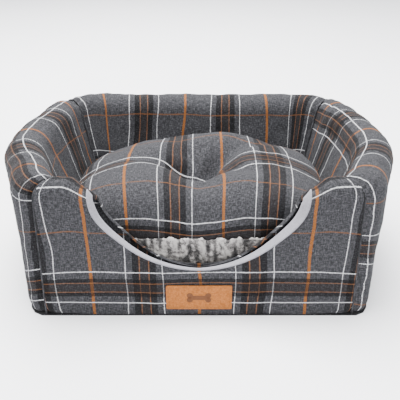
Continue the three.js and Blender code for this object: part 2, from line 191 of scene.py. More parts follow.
def bent_sheet(
    columns: int, rows: int, bend: Callable[[int, int], Bent], closed: bool = False
) -> bmesh.types.BMesh:
    """Bends a flat grid into a sheet and writes each corner's place in the cut cloth as its UV.

    Args:
        columns: Facets across the grid.
        rows: Facets up the grid.
        bend: Takes a column and a row to the corner's point and its place in the cut cloth.
        closed: Whether the first and last columns are the same line and are joined.

    Returns:
        The bent grid, with a UV layer in metres of cloth.
    """
    bm = bmesh.new()
    layer = bm.loops.layers.uv.new(UV_NAME)
    bmesh.ops.create_grid(bm, x_segments=columns, y_segments=rows, size=0.5)
    for vert in bm.verts:
        vert.co, cut = bend(round((vert.co.x + 0.5) * columns), round((vert.co.y + 0.5) * rows))
        for loop in vert.link_loops:
            loop[layer].uv = Vector(cut) * MM
    if closed:
        bmesh.ops.remove_doubles(bm, verts=bm.verts, dist=1e-3)
    return bm


def face_front(bm: bmesh.types.BMesh) -> bmesh.types.BMesh:
    """Turns a sheet's faces so that the foremost one looks forwards, and returns the sheet."""
    bmesh.ops.recalc_face_normals(bm, faces=bm.faces)
    if min(bm.faces, key=lambda face: face.calc_center_median().y).normal.y > 0:
        bmesh.ops.reverse_faces(bm, faces=bm.faces)
    return bm


# ---------------------------------------------------------------- materials


def add_node(
    tree: bpy.types.NodeTree,
    kind: str,
    settings: Settings | None = None,
    inputs: Settings | None = None,
    output: int | str = 0,
) -> bpy.types.NodeSocket:
    """Adds a node with its settings, and sets or links its inputs.

    Args:
        tree: The material's node tree.
        kind: The node's type name.
        settings: Values for the node's own properties.
        inputs: Values, or output sockets to link, by input name or number.
        output: Which output is wanted.

    Returns:
        The new node's output socket.
    """
    node = tree.nodes.new(kind)
    for key, value in (settings or {}).items():
        setattr(node, key, value)
    for key, value in (inputs or {}).items():
        if isinstance(value, bpy.types.NodeSocket):
            tree.links.new(value, node.inputs[key])
        else:
            node.inputs[key].default_value = value
    return node.outputs[output]


def calculate(tree: bpy.types.NodeTree, operation: str, *values: object) -> bpy.types.NodeSocket:
    """Adds a math node on numbers or sockets."""
    return add_node(tree, "ShaderNodeMath", {"operation": operation}, dict(enumerate(values)))


def remap(
    tree: bpy.types.NodeTree,
    value: bpy.types.NodeSocket,
    target: tuple[float, float],
    source: tuple[float, float] = (0.0, 1.0),
) -> bpy.types.NodeSocket:
    """Adds a node that takes one span of values to another."""
    spans = dict(zip(("From Min", "From Max", "To Min", "To Max"), (*source, *target)))
    return add_node(tree, "ShaderNodeMapRange", None, {"Value": value, **spans})


def cloudy(
    tree: bpy.types.NodeTree,
    place: bpy.types.NodeSocket,
    scale: float,
    detail: float,
    roughness: float,
    dimensions: str = "2D",
) -> bpy.types.NodeSocket:
    """Adds a noise texture: flat for cloth coordinates, solid for object coordinates."""
    values = {"Vector": place, "Scale": scale, "Detail": detail, "Roughness": roughness}
    return add_node(tree, "ShaderNodeTexNoise", {"noise_dimensions": dimensions}, values)


def ramp(
    tree: bpy.types.NodeTree,
    factor: bpy.types.NodeSocket,
    stops: Iterable[tuple[float, Colour]],
    interpolation: str = "LINEAR",
) -> bpy.types.NodeSocket:
    """Adds a colour ramp.

    Args:
        tree: The material's node tree.
        factor: What the ramp is read at.
        stops: Positions from 0 to 1 in rising order, each with its linear colour.
        interpolation: CONSTANT or LINEAR.

    Returns:
        The ramp's colour.
    """
    colour = add_node(tree, "ShaderNodeValToRGB", None, {0: factor})
    bands = colour.node.color_ramp
    bands.interpolation = interpolation
    stops = list(stops)
    while len(bands.elements) < len(stops):
        bands.elements.new(1.0)
    for element, (position, rgba) in zip(bands.elements, stops):
        element.position = position
        element.color = rgba
    return colour


def start_material(name: str) -> tuple[bpy.types.Material, bpy.types.NodeTree]:
    """Makes an empty material, named for what it really is, and returns it with its node tree."""
    material = bpy.data.materials.new(name)
    material.use_nodes = True
    return material, material.node_tree


def complete(
    material: bpy.types.Material,
    colour: bpy.types.NodeSocket,
    height: bpy.types.NodeSocket,
    strength: float,
    relief: float,
    values: Settings,
) -> bpy.types.Material:
    """Gives a material's shader its colour, its relief and the values that are even all over.

    Args:
        material: The material.
        colour: The colour's socket.
        height: The relief's socket.
        strength: How strongly the relief turns the light, 0 to 1.
        relief: The relief's depth in millimetres.
        values: The shader's even values by input name.

    Returns:
        The same material.
    """
    tree = material.node_tree
    shader = tree.nodes["Principled BSDF"]
    bump = {"Height": height, "Strength": strength, "Distance": relief * MM}
    tree.links.new(add_node(tree, "ShaderNodeBump", None, bump), shader.inputs["Normal"])
    tree.links.new(colour, shader.inputs["Base Color"])
    for key, value in values.items():
        shader.inputs[key].default_value = value
    return material


class Line(Enum):
    """The yarns of the tartan, as an sRGB colour and how fully they cover the ground."""

    GROUND = ("2d2d2f", 0.0)
    ORANGE = ("7c4a1d", 0.88)
    FINE_ORANGE = ("6f4627", 0.80)
    DIM_ORANGE = ("6a4324", 0.62)
    WHITE = ("bcbcbe", 0.90)
    BLACK = ("070707", 0.90)
    BROWN = ("15110f", 0.78)

    @property
    def rgba(self) -> Colour:
        """The yarn's linear colour, with its cover as alpha."""
        hex_colour, cover = self.value
        return (*linear(hex_colour)[:3], cover)


@dataclass(frozen=True)
class Stripes:
    """One direction's stripes: the repeat, where each begins in it, and the cover left under the ribs."""

    repeat: float
    starts: tuple[tuple[float, Line], ...]
    under_ribs: tuple[float, float]

    def lay(
        self,
        tree: bpy.types.NodeTree,
        ground: bpy.types.NodeSocket,
        along: bpy.types.NodeSocket,
        worn: bpy.types.NodeSocket,
        ribs: bpy.types.NodeSocket,
    ) -> bpy.types.NodeSocket:
        """Lays the stripes over the cloth, weaker where it is worn or where the other yarn floats.

        Args:
            tree: The material's node tree.
            ground: The cloth's colour so far.
            along: The place along this direction of the cloth.
            worn: How much of the stripes wear has left.
            ribs: The twill's ribs.

        Returns:
            The striped colour.
        """
        share = calculate(tree, "FLOORED_MODULO", calculate(tree, "DIVIDE", along, self.repeat), 1.0)
        stops = [(start / self.repeat, line.rgba) for start, line in self.starts]
        colour = ramp(tree, share, stops, "CONSTANT")
        left = calculate(tree, "MULTIPLY", colour.node.outputs["Alpha"], worn)
        cover = calculate(tree, "MULTIPLY", left, remap(tree, ribs, self.under_ribs))
        layers = {"Factor": cover, 6: ground, 7: colour}
        return add_node(tree, "ShaderNodeMix", {"data_type": "RGBA"}, layers, output=2)


@dataclass(frozen=True)
class BrushedTartan:
    """Brushed polyester twill, dyed in the yarn.

    The eye sees a grey ground speckled by its melange yarn, stripes both ways with frayed edges that let the
    ground through, faint diagonal ribs, and a nap that scatters the light so that nothing shines.
    """

    warp: Stripes = Stripes(127.0, (
        (0.0, Line.ORANGE), (1.75, Line.GROUND), (41.0, Line.WHITE), (42.15, Line.GROUND),
        (49.4, Line.BLACK), (56.2, Line.BROWN), (57.1, Line.FINE_ORANGE), (58.5, Line.BROWN),
        (68.5, Line.FINE_ORANGE), (69.9, Line.BROWN), (70.8, Line.BLACK), (77.6, Line.GROUND),
        (84.85, Line.WHITE), (86.0, Line.GROUND), (125.25, Line.ORANGE),
    ), (0.86, 1.0))
    weft: Stripes = Stripes(154.0, (
        (0.0, Line.BROWN), (5.9, Line.DIM_ORANGE), (7.1, Line.BLACK), (12.2, Line.GROUND),
        (20.6, Line.WHITE), (21.7, Line.GROUND), (76.1, Line.DIM_ORANGE), (77.8, Line.GROUND),
        (132.3, Line.WHITE), (133.4, Line.GROUND), (141.8, Line.BLACK), (146.9, Line.DIM_ORANGE),
        (148.1, Line.BROWN),
    ), (1.0, 0.80))
    yarn: float = 1.1          # drawn coarser than it is, or it would not show from a metre away
    fleck: float = 0.20        # a fleck's width as a share of its length
    fray: float = 0.85         # how far the yarns wander to each side

    def make(self) -> bpy.types.Material:
        """Builds the material on the piece's cloth coordinates.

        Returns:
            The material.
        """
        material, tree = start_material("brushed_tartan_twill")
        uv = add_node(tree, "ShaderNodeUVMap", {"uv_map": UV_NAME})
        cloth = add_node(tree, "ShaderNodeVectorMath", {"operation": "SCALE"}, {0: uv, "Scale": 1 / MM})
        wander = cloudy(tree, cloth, 0.9, 2.0, 0.6)
        both_ways = {0: wander.node.outputs["Color"], 1: (2 * self.fray, 2 * self.fray, 0.0),
                     2: (-self.fray, -self.fray, 0.0)}
        shift = add_node(tree, "ShaderNodeVectorMath", {"operation": "MULTIPLY_ADD"}, both_ways)
        frayed = add_node(tree, "ShaderNodeVectorMath", {"operation": "ADD"}, {0: cloth, 1: shift})
        split = add_node(tree, "ShaderNodeSeparateXYZ", None, {0: frayed}).node

        flecks = calculate(
            tree, "ADD", self._flecks(tree, cloth, (1.0, self.fleck, 1.0)),
            self._flecks(tree, cloth, (self.fleck, 1.0, 1.0)),
        )
        tones = [(0.28, linear("141416")), (0.5, linear("2c2c2e")), (0.74, linear("58585c"))]
        colour = ramp(tree, calculate(tree, "MULTIPLY", flecks, 0.5), tones)
        ribs = add_node(
            tree, "ShaderNodeTexWave", {"wave_type": "BANDS", "bands_direction": "DIAGONAL"},
            {"Vector": cloth, "Scale": 0.31 / self.yarn, "Distortion": 0.6, "Detail Scale": 1.0},
        )
        worn = remap(tree, wander, (0.52, 1.0), (0.38, 0.54))
        for stripes, along in ((self.warp, split.outputs[0]), (self.weft, split.outputs[1])):
            colour = stripes.lay(tree, colour, along, worn, ribs)
        # The ribs also scale the colour's brightness: painted shade in their grooves and painted highlight on
        # their crests.
        shade = {0: colour, "Scale": remap(tree, ribs, (0.90, 1.10))}
        rib_shaded_colour = add_node(tree, "ShaderNodeVectorMath", {"operation": "SCALE"}, shade)
        nap = cloudy(tree, cloth, 1.4, 4.0, 0.7)
        return complete(material, rib_shaded_colour, calculate(tree, "MULTIPLY_ADD", ribs, 0.5, nap), 0.5, 0.5, {
            "Roughness": 0.92, "Specular IOR Level": 0.06, "Sheen Weight": 0.03, "Sheen Roughness": 0.45,
            "Sheen Tint": linear("d8d8da"),
        })

    def _flecks(
        self, tree: bpy.types.NodeTree, cloth: bpy.types.NodeSocket, stretch: tuple[float, float, float]
    ) -> bpy.types.NodeSocket:
        """Adds the melange yarn's flecks, drawn out along one direction."""
        drawn = add_node(tree, "ShaderNodeVectorMath", {"operation": "MULTIPLY"}, {0: cloth, 1: stretch})
        return cloudy(tree, drawn, 1 / self.yarn, 3.0, 0.75)


@dataclass(frozen=True)
class Finish:
    """A plain textile, foam or leather: two tones broken up by noise, with a matching relief."""

    name: str
    dark: str
    light: str
    grain: float               # millimetres between grains
    relief: float              # millimetres of relief
    roughness: float = 0.9
    specular: float = 0.3
    sheen: float = 0.0
    cells: bool = False        # pebbled cells in place of cloudy noise

    def make(self) -> bpy.types.Material:
        """Builds the material on the piece's own object coordinates.

        Returns:
            The material.
        """
        material, tree = start_material(self.name)
        place = add_node(tree, "ShaderNodeTexCoord", output="Object")
        scale = 1 / (self.grain * MM)
        pattern = cloudy(tree, place, 0.5 * scale, 5.0, 0.65, "3D")
        if self.cells:
            pebbles = add_node(tree, "ShaderNodeTexVoronoi", None, {"Vector": place, "Scale": scale})
            pattern = calculate(tree, "ADD", calculate(tree, "MULTIPLY_ADD", pebbles, -0.5, pattern), 0.25)
        tones = ramp(tree, pattern, [(0.32, linear(self.dark)), (0.68, linear(self.light))])
        return complete(material, tones, pattern, 0.7, self.relief, {
            "Roughness": self.roughness, "Specular IOR Level": self.specular, "Sheen Weight": self.sheen,
        })


@dataclass(frozen=True)
class SherpaPile:
    """Knitted sherpa: polyester locks curled by heat.

    The eye sees small pale curls that catch the light at their tips and go dark down between them; the colour
    paints that as highlight on the tips and shade between the curls.
    """

    curl: float = 3.12         # millimetres between curls

    def make(self) -> bpy.types.Material:
        """Builds the material on the attribute that the pile's mesh carries for its depth, which paints shade
        low between the curls and highlight on their tips.

        Returns:
            The material.
        """
        material, tree = start_material("knitted_sherpa_pile")
        place = add_node(tree, "ShaderNodeTexCoord", output="Object")
        depth = add_node(tree, "ShaderNodeAttribute", {"attribute_name": "pile"}, output="Fac")
        curls = cloudy(tree, place, 1 / (self.curl * MM), 5.0, 0.75, "3D")
        curls.node.inputs["Distortion"].default_value = 1.6
        # The colour mixes the curls' random tone with the pile's depth: painted shade down between the locks
        # and a painted highlight on their tips.
        tones = ramp(tree, calculate(tree, "MULTIPLY_ADD", curls, 1.25, depth), [
            (0.58, linear("100f11")), (0.74, linear("4a4847")),
            (0.92, linear("8f8b89")), (1.0, linear("b3afab")),
        ])
        return complete(material, tones, curls, 0.9, 1.2, {
            "Roughness": 1.0, "Specular IOR Level": 0.1, "Sheen Weight": 0.3,
        })


FINISHES = {
    "tartan": BrushedTartan(),
    "sherpa": SherpaPile(),
    # Plain-woven polyester tape: pale and flat, with a soft gleam along its turned edge.
    "tape": Finish("woven_polyester_tape", "6b6a70", "807f86", 0.9, 0.25, sheen=0.2),
    # Bonded leather, dyed tan and rolled with a pebble: mottled like cork, and dull.
    "leather": Finish(
        "pebbled_tan_leather", "7c471a", "935b2a", 1.6, 0.3, roughness=0.7, specular=0.15, cells=True
    ),
    # The same leather under a hot stamp: darker and smoother than what surrounds it.
    "pressed_leather": Finish(
        "pressed_tan_leather", "4f2c12", "5a3518", 1.6, 0.1, roughness=0.6, specular=0.2
    ),
    # Spun polyester sewing thread: matt, brown on the label and grey in the cushion.
    "brown_thread": Finish("spun_brown_thread", "5a371d", "6f4826", 0.5, 0.1),
    "grey_thread": Finish("spun_grey_thread", "2a2a2d", "3a3a3e", 0.5, 0.1),
    # Polyester cloth with a coating poured on its back: near black, with fine dots that catch a dull light.
    "non_slip": Finish("coated_non_slip_cloth", "121213", "232325", 2.2, 0.5, roughness=0.7, cells=True),
    # Polyurethane foam, sawn from the block: cream, chalky and full of small open pores.
    "foam": Finish("open_cell_foam", "d5d0bd", "eeeadb", 1.2, 0.4, roughness=1.0, cells=True),
    # Thin plain-woven polyester: an even mid grey with barely a grain.
    "lining": Finish("woven_lining", "85858a", "9c9ca1", 0.8, 0.1),
    # Paint rolled on a studio floor: near white, with no grain to see.
    "studio_floor": Finish("matt_studio_floor", "f2f2f4", "f5f5f7", 400.0, 0.0, roughness=0.85, specular=0.2),
}


# ---------------------------------------------------------------- the walls' shape


@dataclass(frozen=True)
class Section:
    """A wall's upside-down U. u runs inwards from the outer foot, z upwards."""

    depth: float
    rim_radius: float
    lean: float
    foot: float
    floor: float
    top: float

    @property
    def rim(self) -> tuple[float, float]:
        """The middle of the rim's roll."""
        z = self.top - self.rim_radius
        return (self.rim_radius - z * math.sin(self.lean)) / math.cos(self.lean), z

    @property
    def inner_lean(self) -> float:
        """How far the inner limb slopes inwards on its way down, in radians."""
        across, drop = self.depth - self.rim[0], self.rim[1] - self.floor
        return math.acos(self.rim_radius / math.hypot(across, drop)) - math.atan2(drop, across)

    def fold(self, part: float) -> tuple[float, float, float, float]:
        """Follows the outer face from its foot (0) to the rim (1), over it (2) and down to the floor (3).

        Args:
            part: How far along the fold, a whole number at each change of limb.

        Returns:
            The point's u and z, and the outward normal's u and z.
        """
        rim_u, rim_z = self.rim
        angle = lerp(math.pi + self.lean, self.inner_lean, clamp(part - 1))
        normal_u, normal_z = math.cos(angle), math.sin(angle)
        u, z = rim_u + self.rim_radius * normal_u, rim_z + self.rim_radius * normal_z
        if part < 1:
            u, z = lerp(-self.foot * math.tan(self.lean), u, part), lerp(self.foot, z, part)
        elif part > 2:
            u, z = lerp(u, self.depth, part - 2), lerp(z, self.floor, part - 2)
        return u, z, normal_u, normal_z

    def cloth_height(self, part: float) -> float:
        """Measures the cloth between the outer foot and a part of the fold.

        Args:
            part: How far along the fold, 0 to 3.

        Returns:
            Millimetres of cloth.
        """
        rim_z, inner_lean = self.rim[1], self.inner_lean
        outer = (rim_z - self.rim_radius * math.sin(self.lean) - self.foot) / math.cos(self.lean)
        over = self.rim_radius * (math.pi + self.lean - inner_lean)
        inner = (rim_z + self.rim_radius * math.sin(inner_lean) - self.floor) / math.cos(inner_lean)
        return outer * clamp(part) + over * clamp(part - 1) + inner * clamp(part - 2)


@dataclass(frozen=True)
class Station:
    """One place along the footprint: its outer point, the way inwards and the wall's section there."""

    outer: Vector
    inward: Vector
    section: Section

    def at(self, part: float, offset: float) -> Vector:
        """Finds a point of the fold.

        Args:
            part: How far along the fold, 0 to 3.
            offset: How far the point is pushed out along the cloth's normal.

        Returns:
            The point.
        """
        u, z, normal_u, normal_z = self.section.fold(part)
        plan = self.outer + self.inward * (u + normal_u * offset)
        return Vector((plan.x, plan.y, z + normal_z * offset))


@dataclass
class Footprint:
    """The bed's outline on the floor and the walls' sections along it, as the solids have them.

    Places along the outline are distances from the front's middle, positive to the right.
    """

    base_width: float = 424.0
    base_depth: float = 336.0
    rim_height: float = 178.0
    front_panel_width: float = 380.0
    front_corner_depth: float = 40.0
    back_corner_radius: float = 45.0
    nest_corner_radius: float = 25.0
    side_wall_depth: float = 58.0
    side_rim_radius: float = 25.0
    wall_lean: float = 7.0     # degrees outwards, reached half-way back
    side_bow: float = 8.0      # degrees more in the middle of a side
    front_wall_depth: float = 28.0
    cloth_over_foam: float = 1.7
    foot: float = 2.0          # height of the walls' lower edge
    nest_floor: float = 32.3
    front_y: float = field(init=False)
    points: list[Vector] = field(init=False)
    distances: list[float] = field(init=False)
    corner_length: float = field(init=False)

    def __post_init__(self) -> None:
        """Finds the frame's front face and lays closely spaced points along the outline's right half."""
        self.front_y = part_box("front_panel_foam")[0][1] / MM - self.cloth_over_foam
        half_width, seam, radius = self.base_width / 2, self.front_seam, self.back_corner_radius
        corner_y, back_y = self.front_y + self.front_corner_depth, self.front_y + self.base_depth
        straight, side, turn = 40, 60, 64
        quarter = [math.pi / 2 * i / turn for i in range(1, turn + 1)]
        points = [Vector((seam * i / straight, self.front_y)) for i in range(straight + 1)]
        for angle in quarter:
            across = (half_width - seam) * math.sin(angle)
            points.append(Vector((seam + across, corner_y - self.front_corner_depth * math.cos(angle))))
        for i in range(1, side + 1):
            points.append(Vector((half_width, lerp(corner_y, back_y - radius, i / side))))
        for angle in quarter:
            x, y = half_width - radius + radius * math.cos(angle), back_y - radius + radius * math.sin(angle)
            points.append(Vector((x, y)))
        for i in range(1, straight + 1):
            points.append(Vector((lerp(half_width - radius, 0.0, i / straight), back_y)))
        self.points = points
        steps = ((after - before).length for before, after in zip(points, points[1:]))
        self.distances = list(accumulate(steps, initial=0.0))
        self.corner_length = self.distances[straight + turn] - self.distances[straight]

    @property
    def front_seam(self) -> float:
        """The distance of the front corner seams."""
        return self.front_panel_width / 2

    @property
    def back_seam(self) -> float:
        """The distance of the back corner seams, half-way round the back corners."""
        straight = self.base_depth - self.front_corner_depth - self.back_corner_radius
        return self.front_seam + self.corner_length + straight + self.back_corner_radius * math.pi / 4

    @property
    def back_middle(self) -> float:
        """The distance of the back's middle."""
        radius = self.back_corner_radius
        return self.back_seam + radius * math.pi / 4 + self.base_width / 2 - radius

    def _outer(self, distance: float) -> Vector:
        """Finds the outline's point at a distance along the right half.

        Args:
            distance: The distance, from 0 to the back's middle.

        Returns:
            The point.
        """
        low = clamp(bisect_right(self.distances, distance) - 1, 0, len(self.distances) - 2)
        start, end = self.distances[low:low + 2]
        return self.points[low].lerp(self.points[low + 1], clamp((distance - start) / (end - start)))

    def _inner(self, point: Vector) -> Vector:
        """Finds the nest edge's point that faces an outline point.

        Args:
            point: The outline's point.

        Returns:
            The nest edge's point.
        """
        radius = self.nest_corner_radius
        half_width = self.base_width / 2 - self.side_wall_depth - radius
        front = self.front_y + self.front_wall_depth + radius
        back = self.front_y + self.base_depth - self.side_wall_depth - radius
        core = Vector((clamp(point.x, -half_width, half_width), clamp(point.y, front, back)))
        return core + (point - core).normalized() * radius

    def station(self, distance: float) -> Station:
        """Finds the wall's place and section.

        Args:
            distance: The distance, negative on the left. It may carry on past the back's middle.

        Returns:
            The station.
        """
        if distance > self.back_middle:
            distance -= 2 * self.back_middle
        along = abs(distance)
        outer = self._outer(along)
        inward = self._inner(outer) - outer
        depth = inward.length
        fat = clamp((depth - self.front_wall_depth) / (self.side_wall_depth - self.front_wall_depth))
        share = clamp((along - self.front_seam) / (self.back_seam - self.front_seam))
        lean = self.wall_lean * smoothstep(share, 0.0, 0.5) + self.side_bow * math.sin(math.pi * share) ** 2
        section = Section(
            depth, lerp(self.front_wall_depth / 2, self.side_rim_radius, fat), math.radians(lean),
            self.foot, self.nest_floor, self.rim_height,
        )
        side = math.copysign(1.0, distance)
        inward.normalize()
        return Station(Vector((side * outer.x, outer.y)), Vector((side * inward.x, inward.y)), section)


@dataclass(frozen=True)
class WallPanel:
    """A side or back wall: one quilted tartan panel from its foot over the rim down to the nest's floor."""

    outline: Footprint
    side: str
    start: float               # distance along the outline at the panel's first column
    end: float
    warp_origin: float         # distance at which a wide orange stripe stands
    weft_origin: float         # cloth height of the middle of a dark group
    seed: float
    front_rise: float = 0.0    # how far the level lines climb at a front seam
    columns: int = 84
    rows: int = 96
    puff: float = 2.6          # how far the foam fills the panel out between its seams
    filled_from: float = 26.0  # how far from a seam the foam has filled it
    front_tuck: float = 6.0    # how deep the front seam pulls the panel in
    back_tuck: float = 3.4
    tuck_width: float = 7.0
    foot_tuck: float = 3.2     # how far the lower edge is turned under
    hem_tuck: float = 1.5      # how far the inner edge is drawn in at the nest's floor
    drift: Ripple = Ripple(3.0, 95.0, 80.0, 2.0, octaves=2)    # how the stripes wander
    waves: Ripple = Ripple(1.7, 70.0, 55.0, 0.0)
    creases: Ripple = Ripple(0.8, 16.0, 95.0, 9.0)
    gathers: Ripple = Ripple(1.92, 34.0, 12.0, 5.0)

    def build(self) -> bpy.types.Object:
        """Makes the panel and returns it."""
        return cloth_object(f"{self.side}_panel", bent_sheet(self.columns, self.rows, self._bend))

    def _bend(self, column: int, row: int) -> Bent:
        """Bends one corner of the panel's grid over the wall.

        Args:
            column: Counted from the panel's start.
            row: Counted from the outer foot.

        Returns:
            The point and its place in the cloth.
        """
        across = column / self.columns
        # The columns stand closer together near the seams.
        distance = lerp(self.start, self.end, across - 0.1 * math.sin(2 * math.pi * across))
        station = self.outline.station(distance)
        part = self._fold_part(row / self.rows)
        height = station.section.cloth_height(part)
        drift = self.drift.at(distance, height, self.seed)
        near_front = bell(abs(distance) - self.outline.front_seam, 38.0)
        rise = self.front_rise * near_front * (1 - smoothstep(height, 90, 160))
        cut = (distance - self.warp_origin + drift, height - self.weft_origin + drift - rise)
        return station.at(part, self._offset(distance, part, height)), cut

    def _fold_part(self, share: float) -> float:
        """Spreads the rows over the fold, closer over the rim than on the limbs.

        Args:
            share: How far up the grid, 0 to 1.

        Returns:
            The part of the fold, 0 to 3.
        """
        for part, rows in enumerate(FOLD_ROWS):
            if share < rows:
                return part + share / rows
            share -= rows
        return 3.0

    def _offset(self, distance: float, part: float, height: float) -> float:
        """Works out how far the cloth stands out from the solid's face.

        Args:
            distance: Along the outline.
            part: How far along the fold, 0 to 3.
            height: Up the cloth from the outer foot.

        Returns:
            The offset in millimetres.
        """
        from_seam = min(abs(distance - self.start), abs(self.end - distance))
        filled = 1 - bell(from_seam, self.filled_from)
        rim = bell(part - RIM, 0.75)
        puff = self.puff * filled * (0.35 + 0.65 * rim) + self.waves.at(distance, height, self.seed) * filled
        crumpled = 0.35 + 1.3 * rim + 0.9 * smoothstep(part, 1.6, 2.2)
        creases = self.creases.at(distance, height, self.seed) * crumpled
        gathers = self.gathers.at(distance, height, self.seed) * bell(from_seam, self.filled_from)
        at_front = self.front_rise and abs(distance) - min(abs(self.start), abs(self.end)) < 60
        tuck = (self.front_tuck if at_front else self.back_tuck) * bell(from_seam, self.tuck_width)
        edges = self.foot_tuck * bell(height, 4.5) + self.hem_tuck * bell(part - 3, 0.12)
        return puff + creases + gathers - tuck - edges


# ---------------------------------------------------------------- the front wall


@dataclass(frozen=True)
class FrontWall:
    """The front wall: one panel with a round entrance, folded in half through the entrance's middle.

    The flat cloth is measured from the panel's middle, and up from its lower outer edge. Angles run round the
    entrance, anticlockwise from the right as seen from the front.
    """

    outline: Footprint
    entrance_width: float = 252.0
    sill: float = 66.0         # floor to the lowest point of the entrance's edge
    turns: int = 208           # columns round the entrance
    rings: int = 32            # rows from the entrance's edge to the panel's edge
    seam_gap: float = 0.4
    ear_slope: float = 5.0     # how much lower the rim is at the entrance than at the seams
    ear_droop: float = 12.0    # how much further it droops right at the entrance
    foot_drop: float = 1.6     # how far the middle of the lower edge hangs below its corners
    sill_press: float = 13.0   # how far the inner ply is pressed towards the outer one at the sill
    seam_tuck: float = 6.0
    foot_tuck: float = 2.6
    edge_depth: float = 2.0    # depth of the ply's edge at the sill
    dark_group: float = 40.0   # height of the middle of the dark group of stripes
    sag: float = 2.5           # how far the level lines curve up at the seams
    tape: float = 0.6          # thickness
    tape_rows: int = 9
    seed: float = 3.7
    drift: Ripple = Ripple(2.6, 80.0, 70.0, 2.0, octaves=2)
    waves: Ripple = Ripple(1.3, 85.0, 70.0, 0.0)
    small_waves: Ripple = Ripple(0.5, 22.0, 60.0, 4.0)
    ear_creases: Ripple = Ripple(0.9, 13.0, 60.0, 7.0)
    # The hem over the entrance's edge, from its inner end: how far into the entrance and out of the face.
    hem: tuple[tuple[float, float], ...] = ((4.2, -11.0), (5.4, -8.0), (5.6, -4.5), (4.0, -1.4))

    @cached_property
    def _limbs(self) -> tuple[float, float, float]:
        """The flat cloth's lengths up the outside, over the rim and down inside."""
        radius = self.outline.front_wall_depth / 2
        rim_z = self.outline.rim_height - radius
        return rim_z - self.outline.foot, math.pi * radius, rim_z - self.outline.nest_floor

    @cached_property
    def _middle(self) -> float:
        """The height of the entrance's middle on the flat cloth, at the top of the rim."""
        return self._limbs[0] + self._limbs[1] / 2

    @property
    def _reach(self) -> float:
        """Half the entrance's height on the flat cloth."""
        return self._middle - (self.sill - self.outline.foot)

    @property
    def _half_width(self) -> float:
        """Half the flat cloth's width between its seams."""
        return self.outline.front_seam - self.seam_gap

    @cached_property
    def angles(self) -> list[float]:
        """The columns' angles, with one on each corner of the flat cloth."""
        wide = self._half_width / (self.entrance_width / 2)
        top = math.atan2((sum(self._limbs) - self._middle) / self._reach, wide)
        low = math.atan2(self._middle / self._reach, wide)
        corners = [-low, top, math.pi - top, math.pi + low, 2 * math.pi - low]
        count = self.turns // 4
        steps = [lerp(a, b, i / count) for a, b in zip(corners, corners[1:]) for i in range(count)]
        return [*steps, corners[-1]]

    def _part(self, height: float) -> float:
        """Finds the part of the fold at a height on the flat cloth.

        Args:
            height: The height.

        Returns:
            The part, 0 to 3.
        """
        outer, over, inner = self._limbs
        return clamp(height / outer) + clamp((height - outer) / over) + clamp((height - outer - over) / inner)

    def _edge(self, angle: float) -> tuple[float, float]:
        """Returns the entrance edge's place on the flat cloth."""
        return self.entrance_width / 2 * math.cos(angle), self._middle + self._reach * math.sin(angle)

    def _border(self, angle: float) -> tuple[float, float]:
        """Finds the flat cloth's border beyond a point of the entrance's edge.

        Args:
            angle: The angle round the entrance.

        Returns:
            The border's place on the flat cloth.
        """
        tiny = 1e-6
        x, height = self._edge(angle)
        rise = height - self._middle
        room = sum(self._limbs) - self._middle if rise > 0 else self._middle
        scale = min(self._half_width / max(abs(x), tiny), room / max(abs(rise), tiny))
        return x * scale, self._middle + rise * scale

    def surface(self, x: float, height: float, offset: float) -> Vector:
        """Folds a point of the flat cloth over the rim.

        Args:
            x: Distance from the panel's middle.
            height: Distance up from the lower edge.
            offset: How far the point stands out of the solid's face.

        Returns:
            The point.
        """
        seam, edge = self.outline.front_seam, self.entrance_width / 2
        part = self._part(height)
        point = self.outline.station(math.copysign(min(abs(x), seam), x if x else 1.0)).at(part, offset)
        drop = self.ear_slope * (1 - smoothstep(abs(x), edge - 8, seam))
        drop += self.ear_droop * (1 - smoothstep(abs(x), edge - 6, edge + 30))
        point.z -= drop * smoothstep(point.z, 95.0, 172.0)
        point.z -= self.foot_drop * (1 - smoothstep(abs(x), 120.0, 165.0)) * bell(height, 5.0)
        if part > RIM:
            low = smoothstep(135.0 - abs(x), 0.0, 120.0) * bell(point.z - self.sill, 42.0)
            point.y -= self.sill_press * low * min(1.0, part - RIM)
        return point

    def _offset(self, x: float, height: float, from_edge: float) -> float:
        """Works out how far the cloth stands out from the solid's face.

        Args:
            x: Distance from the panel's middle.
            height: Distance up from the lower edge.
            from_edge: Distance from the entrance's edge.

        Returns:
            The offset in millimetres.
        """
        from_seam = self.outline.front_seam - abs(x)
        # The cloth is held flat behind the label.
        label = math.exp(-((x / 52) ** 4)) * math.exp(-(((height - 26) / 26) ** 4))
        filled = (1 - bell(from_seam, 16.0)) * (1 - bell(from_edge, 16.0))
        waves = self.waves.at(x, height, self.seed) + self.small_waves.at(x, height, self.seed)
        creases = self.ear_creases.at(x, height, self.seed) * bell(self._part(height) - RIM, 0.6)
        tucks = self.seam_tuck * bell(from_seam, 2.2) + self.foot_tuck * bell(height, 4.0)
        return ((1.0 + waves) * filled + creases) * (1 - label) - tucks

    def crown(self, angle: float) -> float:
        """Works out the depth of the ply's edge: full at the sides, pressed flat at the sill.

        Args:
            angle: The angle round the entrance.

        Returns:
            The depth in millimetres.
        """
        side = abs(math.cos(angle)) ** 0.8
        full, pinched = (10.2, 0.8) if math.cos(angle) > 0 else (7.6, 0.55)
        pinch = smoothstep(abs(math.sin(angle)), 0.0, 0.14)
        return self.edge_depth + full * side * lerp(pinched, 1.0, pinch)

